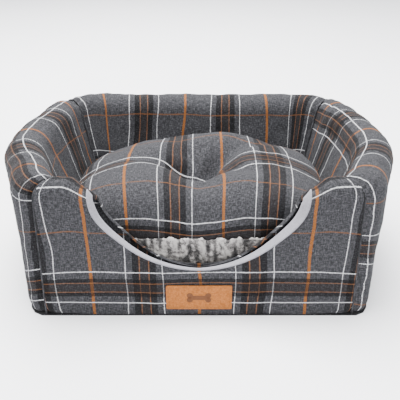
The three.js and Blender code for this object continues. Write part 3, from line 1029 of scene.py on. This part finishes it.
    def _bend_cloth(self, column: int, row: int) -> Bent:
        """Bends one corner of the panel's grid, from the hem's end inside out to the seams.

        Args:
            column: Counted round the entrance.
            row: Counted outwards.

        Returns:
            The point and its place in the cloth.
        """
        angle = self.angles[column]
        cos, sin = math.cos(angle), math.sin(angle)
        (edge_x, edge_height), (border_x, border_height) = self._edge(angle), self._border(angle)
        spread = (max(0, row - len(self.hem)) / self.rings) ** 1.15
        x, height = lerp(edge_x, border_x, spread), lerp(edge_height, border_height, spread)
        if row < len(self.hem):
            rise, back = self.hem[row]
            side = abs(cos)
            rolled = rise * side ** 0.5 + 4.5 * side ** 3 - 5.0 * (1 - side) ** 2
            rise = lerp(-0.3, rolled, smoothstep(sin, -0.05, 0.25))
            back *= self.crown(angle) / -self.hem[0][1]
            point = self.surface(edge_x - rise * cos, edge_height - rise * sin, back)
            drawn = 3.0 * (len(self.hem) - row)
            x, height = x - drawn * cos, height - drawn * sin
        else:
            from_edge = math.hypot(x - edge_x, height - edge_height)
            point = self.surface(x, height, self._offset(x, height, from_edge))
        level = height + self.outline.foot
        drift = self.drift.at(x, height, self.seed)
        splay = 1 + 0.045 * min(1.2, level / 160) ** 1.6
        sag = self.sag * (x / self.outline.front_seam) ** 2
        return point, (x / splay + drift, level - self.dark_group - sag + 0.6 * drift)

    def build_cloth(self) -> bpy.types.Object:
        """Makes the panel and returns it."""
        sheet = bent_sheet(self.turns, len(self.hem) + self.rings, self._bend_cloth, closed=True)
        return cloth_object("front_panel", face_front(sheet))

    def _bend_tape(self, column: int, row: int) -> Bent:
        """Bends one corner of the tape: it caps the outer ply's edge and lies flat against the inner ply's.

        Args:
            column: Counted round the entrance.
            row: Counted across the tape, from the outer face inwards.

        Returns:
            The point and its place in the tape.
        """
        angle = self.angles[column]
        cos, sin = math.cos(angle), math.sin(angle)
        depth = self.crown(angle)
        tilt = 8.5 * cos * cos if cos > 0 else 5.5 * abs(cos) ** 3
        rise, out = (
            (-0.7, 0.3), (-0.5, 0.7), (-0.1, 0.9), (0.2, 0.6), (0.3, 0.0),
            (0.3 + 0.33 * tilt, -0.33 * depth), (0.3 + 0.66 * tilt, -0.66 * depth), (0.2 + tilt, -depth),
            (-0.6, -depth - 0.9), (-2.6, -depth - 1.6),
        )[row]
        inner = smoothstep(sin, -0.02, 0.22)
        rise, out = lerp(rise, -12.0 + 1.2 * row, inner), lerp(out, -12.6, inner)
        edge_x, edge_height = self._edge(angle)
        return self.surface(edge_x - rise * cos, edge_height - rise * sin, out), (column * 3.7, row * 1.7)

    def build_tape(self) -> bpy.types.Object:
        """Makes the tape and returns it."""
        sheet = bent_sheet(self.turns, self.tape_rows, self._bend_tape, closed=True)
        return cloth_object("entrance_tape", face_front(sheet), self.tape, outwards=True)


# ---------------------------------------------------------------- seams and floor


@dataclass(frozen=True)
class CornerSeam:
    """The sewn edges of two panels: a narrow welt lying in the valley between them."""

    name: str
    distance: float            # along the outline, negative on the left
    sunk: float                # how deep the welt lies under the solid's face
    radius: float = 1.3
    steps: int = 110
    sides: int = 8

    def build(self, outline: Footprint) -> bpy.types.Object:
        """Makes the welt as a round rope of cloth along the fold.

        Args:
            outline: The bed's footprint.

        Returns:
            The new object.
        """
        station = outline.station(self.distance)
        path = [station.at(3.0 * i / self.steps, -self.sunk) for i in range(self.steps + 1)]
        across = Vector((-station.inward.y, station.inward.x, 0.0))

        def bend(column: int, row: int) -> Bent:
            """Returns a point of the rope and its place in the cloth's plain ground."""
            out = across.cross(path[min(self.steps, column + 1)] - path[max(0, column - 1)]).normalized()
            angle = 2 * math.pi * row / self.sides
            point = path[column] + (across * math.cos(angle) + out * math.sin(angle)) * self.radius
            return point, (20 + 9 * row / self.sides, 26 + 46 * column / self.steps)

        bm = bent_sheet(self.steps, self.sides, bend, closed=True)
        bmesh.ops.holes_fill(bm, edges=[e for e in bm.edges if e.is_boundary], sides=self.sides)
        bmesh.ops.recalc_face_normals(bm, faces=bm.faces)
        return new_object(self.name, bm)


@dataclass(frozen=True)
class NestFloor:
    """The folded-in roof's tartan, lying flat under the cushion with soft creases."""

    columns: int = 48
    rows: int = 40
    top: float = 31.8
    edge_gap: float = 1.0
    creases: Ripple = Ripple(0.35, 45.0, 45.0, 8.0)

    def build(self) -> bpy.types.Object:
        """Makes the floor cloth over the frame's own, and returns it."""
        low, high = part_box("roof_cloth")
        half_width = (high[0] - low[0]) / 2 / MM - self.edge_gap
        half_depth = (high[1] - low[1]) / 2 / MM - self.edge_gap
        middle_y = (high[1] + low[1]) / 2 / MM

        def bend(column: int, row: int) -> Bent:
            """Rounds the cloth's corners a little and keeps the creases off its edges."""
            a, b = 2 * column / self.columns - 1, 2 * row / self.rows - 1
            x = half_width * a * math.sqrt(1 - 0.1 * b * b)
            y = half_depth * b * math.sqrt(1 - 0.1 * a * a)
            crease = (1 - a ** 4) * (1 - b ** 4) * self.creases.at(x, y)
            cut = (half_width * a - 30, half_depth * (b + 1) - 20)
            return Vector((x, middle_y + y, self.top - 0.5 + crease)), cut

        return cloth_object("nest_floor", bent_sheet(self.columns, self.rows, bend))


# ---------------------------------------------------------------- label


@dataclass(frozen=True)
class Label:
    """A tan leather patch sewn to the front, with a plain bone pressed into it."""

    width: float = 79.0
    height: float = 33.0
    thickness: float = 1.6
    bottom: float = 11.0       # floor to the patch's lower edge
    corner: float = 1.8
    edge_bevel: float = 0.45
    stitch: float = 2.6
    stitch_gap: float = 1.5
    stitch_margin: float = 2.5
    thread: float = 0.35
    bone_length: float = 22.0  # between the middles of the knuckles at its two ends
    bone_bar: float = 6.2
    knuckle: float = 3.9
    bone_depth: float = 0.3

    def _stand(self, bm: bmesh.types.BMesh, face_y: float) -> bmesh.types.BMesh:
        """Stands a shape drawn flat on the floor up against the front wall, and returns it."""
        bmesh.ops.rotate(bm, cent=(0, 0, 0), matrix=Matrix.Rotation(math.pi / 2, 3, "X"), verts=bm.verts)
        bmesh.ops.translate(bm, vec=(0, face_y, self.bottom + self.height / 2), verts=bm.verts)
        return bm

    def build_patch(self, back_y: float) -> bpy.types.Object:
        """Makes the patch.

        Args:
            back_y: Where the patch's back lies.

        Returns:
            The new object.
        """
        bm = bmesh.new()
        bmesh.ops.create_grid(bm, x_segments=1, y_segments=1, size=0.5)
        bmesh.ops.scale(bm, vec=(self.width, self.height, 1), verts=bm.verts)
        bmesh.ops.bevel(
            bm, geom=bm.verts[:], offset=self.corner, segments=4, profile=0.5, affect="VERTICES", material=-1
        )
        raised = bmesh.ops.extrude_face_region(bm, geom=bm.faces[:])
        top = [g for g in raised["geom"] if isinstance(g, bmesh.types.BMVert)]
        bmesh.ops.translate(bm, vec=(0, 0, self.thickness), verts=top)
        bmesh.ops.recalc_face_normals(bm, faces=bm.faces)
        rim = [e for e in bm.edges if all(v.co.z > self.thickness / 2 for v in e.verts)]
        bmesh.ops.bevel(
            bm, geom=rim, offset=self.edge_bevel, segments=3, profile=0.5, affect="EDGES", material=-1
        )
        return new_object("label_leather", self._stand(bm, back_y), smooth=False)

    def build_stitches(self, face_y: float) -> bpy.types.Object:
        """Makes the stitches round the patch's edge, each a short rounded rod half sunk in the leather.

        Args:
            face_y: Where the patch's face lies.

        Returns:
            The new object.
        """
        bm = bmesh.new()
        half_width = self.width / 2 - self.stitch_margin
        half_height = self.height / 2 - self.stitch_margin
        for turn, length, other in ((0.0, half_width, half_height), (math.pi / 2, half_height, half_width)):
            count = int(2 * length // (self.stitch + self.stitch_gap))
            for i in range(count):
                along = length * ((2 * i + 1) / count - 1)
                for side in (-other, other):
                    made = bmesh.ops.create_uvsphere(bm, u_segments=8, v_segments=6, radius=1.0)["verts"]
                    bmesh.ops.scale(bm, vec=(self.stitch / 2, self.thread, self.thread), verts=made)
                    bmesh.ops.rotate(bm, cent=(0, 0, 0), matrix=Matrix.Rotation(turn, 3, "Z"), verts=made)
                    place = (side, along, 0) if turn else (along, side, 0)
                    bmesh.ops.translate(bm, vec=place, verts=made)
        return new_object("label_stitches", self._stand(bm, face_y))

    def build_bone(self, face_y: float) -> bpy.types.Object:
        """Makes the pressed bone: two knuckles at each end of a bar.

        Args:
            face_y: Where the patch's face lies.

        Returns:
            The new object.
        """
        bm = bmesh.new()
        for x in (-self.bone_length / 2, self.bone_length / 2):
            for y in (-3.0, 3.0):
                made = bmesh.ops.create_cone(
                    bm, cap_ends=True, segments=24, radius1=self.knuckle, radius2=self.knuckle - 0.2,
                    depth=self.bone_depth,
                )["verts"]
                bmesh.ops.translate(bm, vec=(x, y, 0.0), verts=made)
        bar = bmesh.ops.create_cube(bm, size=1.0)["verts"]
        bmesh.ops.scale(bm, vec=(self.bone_length, self.bone_bar, self.bone_depth - 0.04), verts=bar)
        return new_object("label_bone", self._stand(bm, face_y), smooth=False)


# ---------------------------------------------------------------- cushion


class ClothMoves:
    """How far a simulated cloth moved, looked up by where it was before."""

    def __init__(self, places: list[Vector], moves: list[Vector], limit: float = 16.0) -> None:
        """Args:
            places: Where each part was, in millimetres.
            moves: How far each of them moved.
            limit: The furthest that any part may move.
        """
        self.moves = [move if move.length < limit else move.normalized() * limit for move in moves]
        self.tree = kdtree.KDTree(len(places))
        for index, place in enumerate(places):
            self.tree.insert(place, index)
        self.tree.balance()

    def at(self, point: Vector) -> Vector:
        """Finds the move of the cloth around a point.

        Args:
            point: The point before the move.

        Returns:
            The move, or none where nothing was simulated.
        """
        total, move = 0.0, Vector((0, 0, 0))
        for _, index, distance in self.tree.find_n(point, 4):
            weight = 1 / (distance + 0.05) ** 2
            total += weight
            move += self.moves[index] * weight
        return move / total if total else move


@dataclass(frozen=True)
class Crown:
    """How one side of the cushion stands away from its edge seam. Places run from -1 to 1 both ways."""

    height: float
    squareness: float          # how flat the middle stays
    steepness: float           # how fast the edge climbs; lower is fatter

    def level(self, a: float, b: float) -> float:
        """Returns the distance from the seam's level at a place."""
        room = (1 - abs(a) ** self.squareness) * (1 - abs(b) ** self.squareness)
        return self.height * max(0.0, room) ** self.steepness

    def even_steps(self, half: float, count: int) -> tuple[list[float], float]:
        """Spaces places evenly over the cloth rather than over the plan.

        Args:
            half: Half the cushion's size along this direction.
            count: How many steps.

        Returns:
            The places, and the length of cloth from seam to seam.
        """
        samples = 2000
        fine = [math.sin(math.pi * (i / samples - 0.5)) for i in range(samples + 1)]
        lengths = [0.0]
        for before, after in zip(fine, fine[1:]):
            climb = self.level(after, 0) - self.level(before, 0)
            lengths.append(lengths[-1] + math.hypot((after - before) * half, climb))
        steps, below = [], 0
        for i in range(count + 1):
            target = lengths[-1] * i / count
            while below < samples - 1 and lengths[below + 1] < target:
                below += 1
            share = (target - lengths[below]) / (lengths[below + 1] - lengths[below])
            steps.append(lerp(fine[below], fine[below + 1], share))
        return steps, lengths[-1]


@dataclass(frozen=True)
class Crease:
    """A crease in the cushion's top that runs out from the tack."""

    direction: float           # degrees
    depth: float
    width: float


@dataclass(frozen=True)
class Swelling:
    """A soft hill, or a hollow where its height is negative, in the cushion's top."""

    height: float
    x: float
    y: float
    width: float
    length: float


@dataclass(frozen=True)
class Cushion:
    """The loose cushion: a tartan top and a sherpa underside, pulled in by a tack at its middle.

    Both sides are drawn in a square from -1 to 1 each way, with a to the right and b to the back.
    """

    outline: Footprint
    half_width: float = 157.0
    half_depth: float = 125.5
    middle_y: float = -18.0
    seam_z: float = 76.5
    front_lift: float = 10.0   # how much higher the seam rides along the entrance
    spread: float = 20.0       # how far the top bulges out over the seam
    rounding: float = 0.34     # 0 is square-cornered in plan, 1 is round
    top: Crown = Crown(74.0, 3.0, 0.30)
    underside: Crown = Crown(43.5, 3.0, 0.28)
    cover_grid: tuple[int, int] = (76, 64)
    pile_grid: tuple[int, int] = (230, 184)
    pressure_frames: int = 21
    dimple: float = 46.0
    dimple_width: float = 38.0
    creases: tuple[Crease, ...] = (
        Crease(38.0, 26.0, 19.0), Crease(180.0, 20.0, 22.0), Crease(268.0, 30.0, 36.0),
        Crease(118.0, 5.0, 20.0), Crease(325.0, 5.0, 18.0),
    )
    swellings: tuple[Swelling, ...] = (
        Swelling(7.0, 35.0, 85.0, 60.0, 60.0), Swelling(-9.0, -120.0, 60.0, 55.0, 70.0),
    )
    gathers: Ripple = Ripple(3.96, 1.0, 1.0, 4.0)
    folds: Ripple = Ripple(1.5, 34.0, 26.0, 2.0)
    small_folds: Ripple = Ripple(0.5, 9.0, 30.0, 6.0)
    lock: float = 4.6          # millimetres between the pile's locks
    pile: float = 7.6          # length of its longest locks
    backing: float = 1.6       # thickness of the knit that holds them
    pile_seed: int = 7

    def _plan(self, a: float, b: float) -> tuple[float, float]:
        """Takes the square to the cushion's plan outline."""
        x = a * math.sqrt(1 - self.rounding * b * b / 2)
        y = b * math.sqrt(1 - self.rounding * a * a / 2)
        return self.half_width * x, self.half_depth * y

    def _seam_level(self, b: float) -> float:
        """Returns the edge seam's height, which rides up towards the entrance."""
        return self.seam_z + self.front_lift * smoothstep(-b, 0.3, 1.0)

    def _on_top(self, a: float, b: float) -> Vector:
        """Shapes the top before it is blown up.

        Args:
            a: The place across.
            b: The place from front to back.

        Returns:
            The point.
        """
        x, y = self._plan(a, b)
        away = math.hypot(x, y)
        height = self.top.level(a, b) - self.dimple * bell(away, self.dimple_width)
        for hill in self.swellings:
            height += hill.height * bell(x - hill.x, hill.width) * bell(y - hill.y, hill.length)
        angle = math.degrees(math.atan2(y, x))
        for crease in self.creases:
            turn = math.radians((angle - crease.direction + 180) % 360 - 180)
            if abs(turn) < math.pi / 2:
                sideways, along = away * math.sin(turn), away * math.cos(turn)
                fade = bell(along, 100.0) * smoothstep(along, 0.0, 30.0)
                height -= crease.depth * fade * bell(sideways, crease.width)
        swell = smoothstep(height, -12.0, 42.0) - 0.13
        bulge = 1 + self.spread / self.half_width * swell * abs(a) ** 4
        return Vector((x * bulge, self.middle_y + y, self._seam_level(b) + max(0.0, height)))

    def _underneath(self, a: float, b: float) -> Vector:
        """Shapes the underside, dented a little by the tack.

        Args:
            a: The place across.
            b: The place from front to back.

        Returns:
            The point.
        """
        x, y = self._plan(a, b)
        height = self.underside.level(a, b) - 4.0 * bell(math.hypot(x, y), 25.0)
        level = self._seam_level(b)
        stretch = (level - self.seam_z + self.underside.height) / self.underside.height
        return Vector((x, self.middle_y + y, level - height * stretch))

    def _half(
        self, crown: Crown, surface: Callable[[float, float], Vector], grid: tuple[int, int]
    ) -> bmesh.types.BMesh:
        """Bends one side as a sheet with even steps of cloth.

        Args:
            crown: How that side stands away from the seam.
            surface: Takes a place in the square to the side's surface.
            grid: Facets across and from front to back.

        Returns:
            The sheet.
        """
        columns, rows = grid
        across, width = crown.even_steps(self.half_width, columns)
        up, depth = crown.even_steps(self.half_depth, rows)

        def bend(column: int, row: int) -> Bent:
            """Returns the side's point and its place in the cloth."""
            cut = (width * (column / columns - 0.5) - 32.0, depth * row / rows - 7.0)
            return surface(across[column], up[row]), cut

        return bent_sheet(columns, rows, bend)

    def _blow_up(self) -> ClothMoves:
        """Blows the closed cover up as cloth held at its tack, along its edge seam and underneath.

        Returns:
            How far each part of the cover moved.
        """
        bm = self._half(self.top, self._on_top, self.cover_grid)
        lower = self._half(self.underside, self._underneath, self.cover_grid)
        bmesh.ops.reverse_faces(lower, faces=lower.faces)
        scratch = bpy.data.meshes.new("underside")
        lower.to_mesh(scratch)
        lower.free()
        bm.from_mesh(scratch)
        bpy.data.meshes.remove(scratch)
        bmesh.ops.remove_doubles(bm, verts=bm.verts, dist=1e-3)
        piece = new_object("cushion_cover", bm)
        held = piece.vertex_groups.new(name="held")
        before = [v.co / MM for v in piece.data.vertices]
        for index, point in enumerate(before):
            y = point.y - self.middle_y
            if math.hypot(point.x, y) < 7 or point.z < self._seam_level(y / self.half_depth) + 0.5:
                held.add([index], 1.0, "REPLACE")
        cover = piece.modifiers.new("cloth", "CLOTH").settings
        for key, value in {
            "quality": 6, "mass": 0.25, "tension_stiffness": 14, "compression_stiffness": 14,
            "shear_stiffness": 5, "bending_stiffness": 0.5, "air_damping": 4, "use_pressure": True,
            "uniform_pressure_force": 3.0, "vertex_group_mass": "held",
        }.items():
            setattr(cover, key, value)
        cover.effector_weights.gravity = 0.0
        scene = bpy.context.scene
        for frame in range(1, self.pressure_frames + 1):
            scene.frame_set(frame)
        settled = piece.evaluated_get(bpy.context.evaluated_depsgraph_get())
        after = [v.co / MM for v in settled.to_mesh().vertices]
        settled.to_mesh_clear()
        scene.frame_set(1)
        bpy.data.objects.remove(piece)
        return ClothMoves(before, [new - old for old, new in zip(before, after)])

    def _clear(self, point: Vector, margin: float) -> Vector:
        """Moves a point clear of the walls and the nest's floor.

        Args:
            point: The point.
            margin: Millimetres to keep from the walls' solid faces.

        Returns:
            The moved point.
        """
        outline = self.outline
        rise = point.z - outline.nest_floor
        slope = (0.20 + 0.16 * bell(point.y + 8, 85.0)) * rise
        half_width = outline.base_width / 2 - outline.side_wall_depth + slope - margin
        front = outline.front_y + outline.front_wall_depth + margin
        back = outline.front_y + outline.base_depth - outline.side_wall_depth + 0.2 * rise - margin
        return Vector((
            clamp(point.x, -half_width, half_width), clamp(point.y, front, back),
            max(outline.nest_floor + 1.0, point.z),
        ))

    def build_top(self) -> bpy.types.Object:
        """Makes the tartan top: blown up, then wrinkled where it is full and gathered at the tack.

        Returns:
            The new object.
        """
        moves = self._blow_up()
        bm = self._half(self.top, self._on_top, self.cover_grid)
        for vert in bm.verts:
            puffed = vert.co + moves.at(vert.co)
            x, y, z = puffed
            away, turn = math.hypot(x, y - self.middle_y), math.atan2(y - self.middle_y, x)
            gathers = self.gathers.at(2.6 * math.cos(turn), 2.6 * math.sin(turn)) * bell(away, 60.0)
            folds = self.folds.at(x, y) + self.small_folds.at(x, y)
            high = smoothstep(z, self.seam_z + 8, self.seam_z + 35) * smoothstep(away, 5.0, 30.0)
            puffed.z += (gathers + folds) * high
            vert.co = self._clear(puffed, 3.0)
        return cloth_object("cushion_tartan_top", bm)

    def build_tack(self, top: bpy.types.Object) -> bpy.types.Object:
        """Makes the tack: a thread through the cushion with a bar of stitches at each end.

        Args:
            top: The cushion's top, whose deepest point holds the upper bar.

        Returns:
            The new object.
        """
        middle = Vector((0.0, self.middle_y))
        high = min(v.co.z / MM for v in top.data.vertices if (v.co.xy / MM - middle).length < 8)
        low = self.outline.nest_floor + 3.5
        bm = bmesh.new()
        thread = bmesh.ops.create_cone(
            bm, cap_ends=True, segments=10, radius1=0.6, radius2=0.6, depth=high - low
        )["verts"]
        bmesh.ops.translate(bm, vec=(0, self.middle_y, (high + low) / 2), verts=thread)
        for z in (high, low):
            bar = bmesh.ops.create_uvsphere(bm, u_segments=12, v_segments=8, radius=1.0)["verts"]
            bmesh.ops.scale(bm, vec=(2.6, 0.7, 0.6), verts=bar)
            bmesh.ops.translate(bm, vec=(0, self.middle_y, z), verts=bar)
        return new_object("cushion_tack", bm)

    def build_pile(self) -> bpy.types.Object:
        """Makes the sherpa underside: a dense sheet whose curled locks stand out of it.

        Returns:
            The new object.
        """
        bm = self._half(self.underside, self._underneath, self.pile_grid)
        if sum(f.normal.z for f in bm.faces) > 0:
            bmesh.ops.reverse_faces(bm, faces=bm.faces)
        bm.normal_update()
        # The locks' height, which the sherpa's colour reads: painted shade between the locks and painted
        # highlight on their tips.
        depth = bm.verts.layers.float.new("pile")
        # noise_vector draws on a seed that is otherwise the time of day.
        noise.seed_set(self.pile_seed)
        raised = []
        for vert in bm.verts:
            here = vert.co
            warp = noise.noise_vector(here / 8.0) * 3.4
            near, _ = noise.voronoi((here + warp) / self.lock)
            lock = max(0.0, 1 - near[0] * 1.25)
            clump = smoothstep(noise.noise(Vector((here.x / 7, here.y / 9, here.z / 26 + 5))), -0.45, 0.15)
            strand = 0.5 + 0.5 * noise.noise(here / 1.9)
            amount = (0.60 * lock + 0.30 * strand + 0.20) * lerp(0.35, 1.0, clump)
            vert[depth] = 0.62 * clamp(1.35 * amount - 0.18)
            # Along the edge seam the locks also stand up in front of the top.
            edge = bell(self._seam_level(-1.0 if here.y < -90 else 0.0) - here.z, 6.0)
            lifted = Vector((0.0, 0.0, (1.5 + 4.0 * clump * (0.4 + lock)) * edge))
            raised.append(here + vert.normal * (self.pile * amount - 0.8 + 1.5 * edge) + lifted + warp * 0.25)
        for vert, point in zip(bm.verts, raised):
            vert.co = self._clear(point, 1.5)
        return cloth_object("cushion_sherpa_underside_pile", bm, self.backing, levels=0)


# ---------------------------------------------------------------- studio


@dataclass(frozen=True)
class Lamp:
    """One square soft light, in metres and watts."""

    name: str
    place: tuple[float, float, float]
    target: tuple[float, float, float]
    size: float
    power: float

    def build(self) -> None:
        """Hangs the lamp and aims it."""
        data = bpy.data.lights.new(self.name, "AREA")
        data.shape = "SQUARE"
        data.size = self.size
        data.energy = self.power
        lamp = bpy.data.objects.new(self.name, data)
        lamp.location = self.place
        lamp.rotation_euler = (Vector(self.target) - Vector(self.place)).to_track_quat("-Z", "Y").to_euler()
        bpy.context.scene.collection.objects.link(lamp)


@dataclass(frozen=True)
class Studio:
    """A pale floor, soft overhead light and the camera."""

    camera_height: float = 470.0
    camera_distance: float = 654.0     # in front of the bed's front face
    pitch: float = 25.6                # degrees down
    focal_length: float = 58.5
    shift: float = 0.0025              # of the picture's width
    air: Colour = (0.93, 0.95, 1.0, 1.0)
    air_strength: float = 1.1
    lamps: tuple[Lamp, ...] = (
        Lamp("key", (-0.3, 0.25, 2.0), (0.0, 0.0, 0.1), 1.9, 230.0),
        Lamp("back", (-0.3, 1.6, 1.7), (0.0, 0.1, 0.1), 1.6, 50.0),
        Lamp("fill", (0.8, -2.0, 1.2), (0.0, -0.1, 0.1), 1.6, 60.0),
    )

    def build(self, front_y: float) -> None:
        """Makes the floor, the lights and the camera.

        Args:
            front_y: Where the bed's front face is.
        """
        bm = bmesh.new()
        bmesh.ops.create_grid(bm, x_segments=1, y_segments=1, size=6000.0)
        floor = new_object("studio_floor", bm, smooth=False)
        floor.data.materials.append(FINISHES["studio_floor"].make())

        world = bpy.data.worlds.new("studio_air")
        world.use_nodes = True
        background = world.node_tree.nodes["Background"]
        background.inputs["Color"].default_value = self.air
        background.inputs["Strength"].default_value = self.air_strength
        scene = bpy.context.scene
        scene.world = world
        for lamp in self.lamps:
            lamp.build()

        data = bpy.data.cameras.new("camera")
        data.lens = self.focal_length
        data.shift_x = self.shift
        camera = bpy.data.objects.new("camera", data)
        camera.location = (0.0, (front_y - self.camera_distance) * MM, self.camera_height * MM)
        camera.rotation_euler = (math.radians(90 - self.pitch), 0.0, 0.0)
        scene.collection.objects.link(camera)
        scene.camera = camera


# ---------------------------------------------------------------- assembly


@dataclass
class PetBed:
    """The whole bed: builds each sub-assembly and dresses it."""

    frame: dict[str, object]
    outline: Footprint = field(default_factory=Footprint)
    seam_gap: float = 0.8
    materials: dict[str, bpy.types.Material] = field(default_factory=dict)

    def _dress(
        self,
        piece: bpy.types.Object,
        finish: str,
        replaced: Iterable[str] = (),
        body: str = "shell",
    ) -> None:
        """Gives a piece its material and body, and reports it.

        Args:
            piece: The piece.
            finish: The name of its finish.
            replaced: The frame's nodes that it stands for.
            body: The moving body that it rides.
        """
        piece.data.materials.clear()
        piece.data.materials.append(self.materials[finish])
        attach(piece, body)
        if replaced:
            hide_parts(*replaced)
        LOG.info("%s: %d faces, %s, on %s", piece.name, len(piece.data.polygons), finish, body)

    def _layers(self, side: str) -> tuple[str, ...]:
        """Returns the names of the solids that one wall's panel stands for."""
        return tuple(f"{side}_panel_{layer}" for layer in ("cloth", "foam", "lining"))

    def build_walls(self) -> None:
        """Builds the side and back panels and the welts in the corners."""
        outline = self.outline
        front, back, middle = outline.front_seam, outline.back_seam, outline.back_middle
        near, far = front + self.seam_gap, back - self.seam_gap
        behind = back + self.seam_gap
        for panel in (
            WallPanel(outline, "right", near, far, front + 50.5, 70.0, 11.0, front_rise=20.0),
            WallPanel(outline, "left", -far, -near, -246.0, 18.0, 17.0, front_rise=23.0),
            WallPanel(outline, "back", behind, 2 * middle - behind, middle + 23.0, -3.0, 23.0, columns=96),
        ):
            self._dress(panel.build(), "tartan", self._layers(panel.side))
        for side, sign in (("right", 1), ("left", -1)):
            for end, distance, sunk in (("front", front, 4.6), ("back", back, 2.6)):
                welt = CornerSeam(f"{end}_{side}_welt", sign * distance, sunk).build(outline)
                self._dress(welt, "tartan", [f"{end}_{side}_seam"])

    def build_front(self) -> None:
        """Builds the front panel, the entrance's tape and the label."""
        wall = FrontWall(self.outline)
        self._dress(wall.build_cloth(), "tartan", self._layers("front"))
        self._dress(wall.build_tape(), "tape", ["entrance_binding"])
        label = Label()
        back_y = self.outline.front_y - 0.3
        face_y = back_y - label.thickness
        self._dress(label.build_patch(back_y), "leather", ["label_patch"])
        self._dress(label.build_stitches(face_y), "brown_thread", ["label_stitching"])
        self._dress(label.build_bone(face_y), "pressed_leather")

    def build_floor(self) -> None:
        """Builds the nest's floor cloth and dresses the layers under it."""
        self._dress(NestFloor().build(), "tartan", ["roof_cloth"])
        for node, finish in (
            ("base_cloth", "non_slip"), ("base_foam", "foam"), ("floor_lining", "lining"),
            ("roof_lining", "lining"), ("roof_foam", "foam"),
        ):
            data = self.frame["nodes"][node].data
            data.materials.clear()
            data.materials.append(self.materials[finish])
            LOG.info("%s: dressed in %s", node, finish)

    def build_cushion(self) -> None:
        """Builds the cushion's top, pile and tack."""
        cushion = Cushion(self.outline)
        top, pile = cushion.build_top(), cushion.build_pile()
        covered = ["cushion_top_cloth", "cushion_filling"]
        self._dress(top, "tartan", covered, body="cushion")
        self._dress(pile, "sherpa", ["cushion_sherpa_underside"], body="cushion")
        self._dress(cushion.build_tack(top), "grey_thread", ["cushion_tack_thread"], body="cushion")

    def build(self) -> None:
        """Builds the bed in order."""
        self.materials = {name: finish.make() for name, finish in FINISHES.items() if name != "studio_floor"}
        self.build_walls()
        self.build_front()
        self.build_floor()
        self.build_cushion()


def main() -> None:
    """Builds the bed and the studio."""
    logging.basicConfig(level=logging.INFO, format="%(name)s %(message)s")
    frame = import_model()
    bed = PetBed(frame)
    bed.build()
    Studio().build(bed.outline.front_y)


if __name__ == "__main__":
    main()
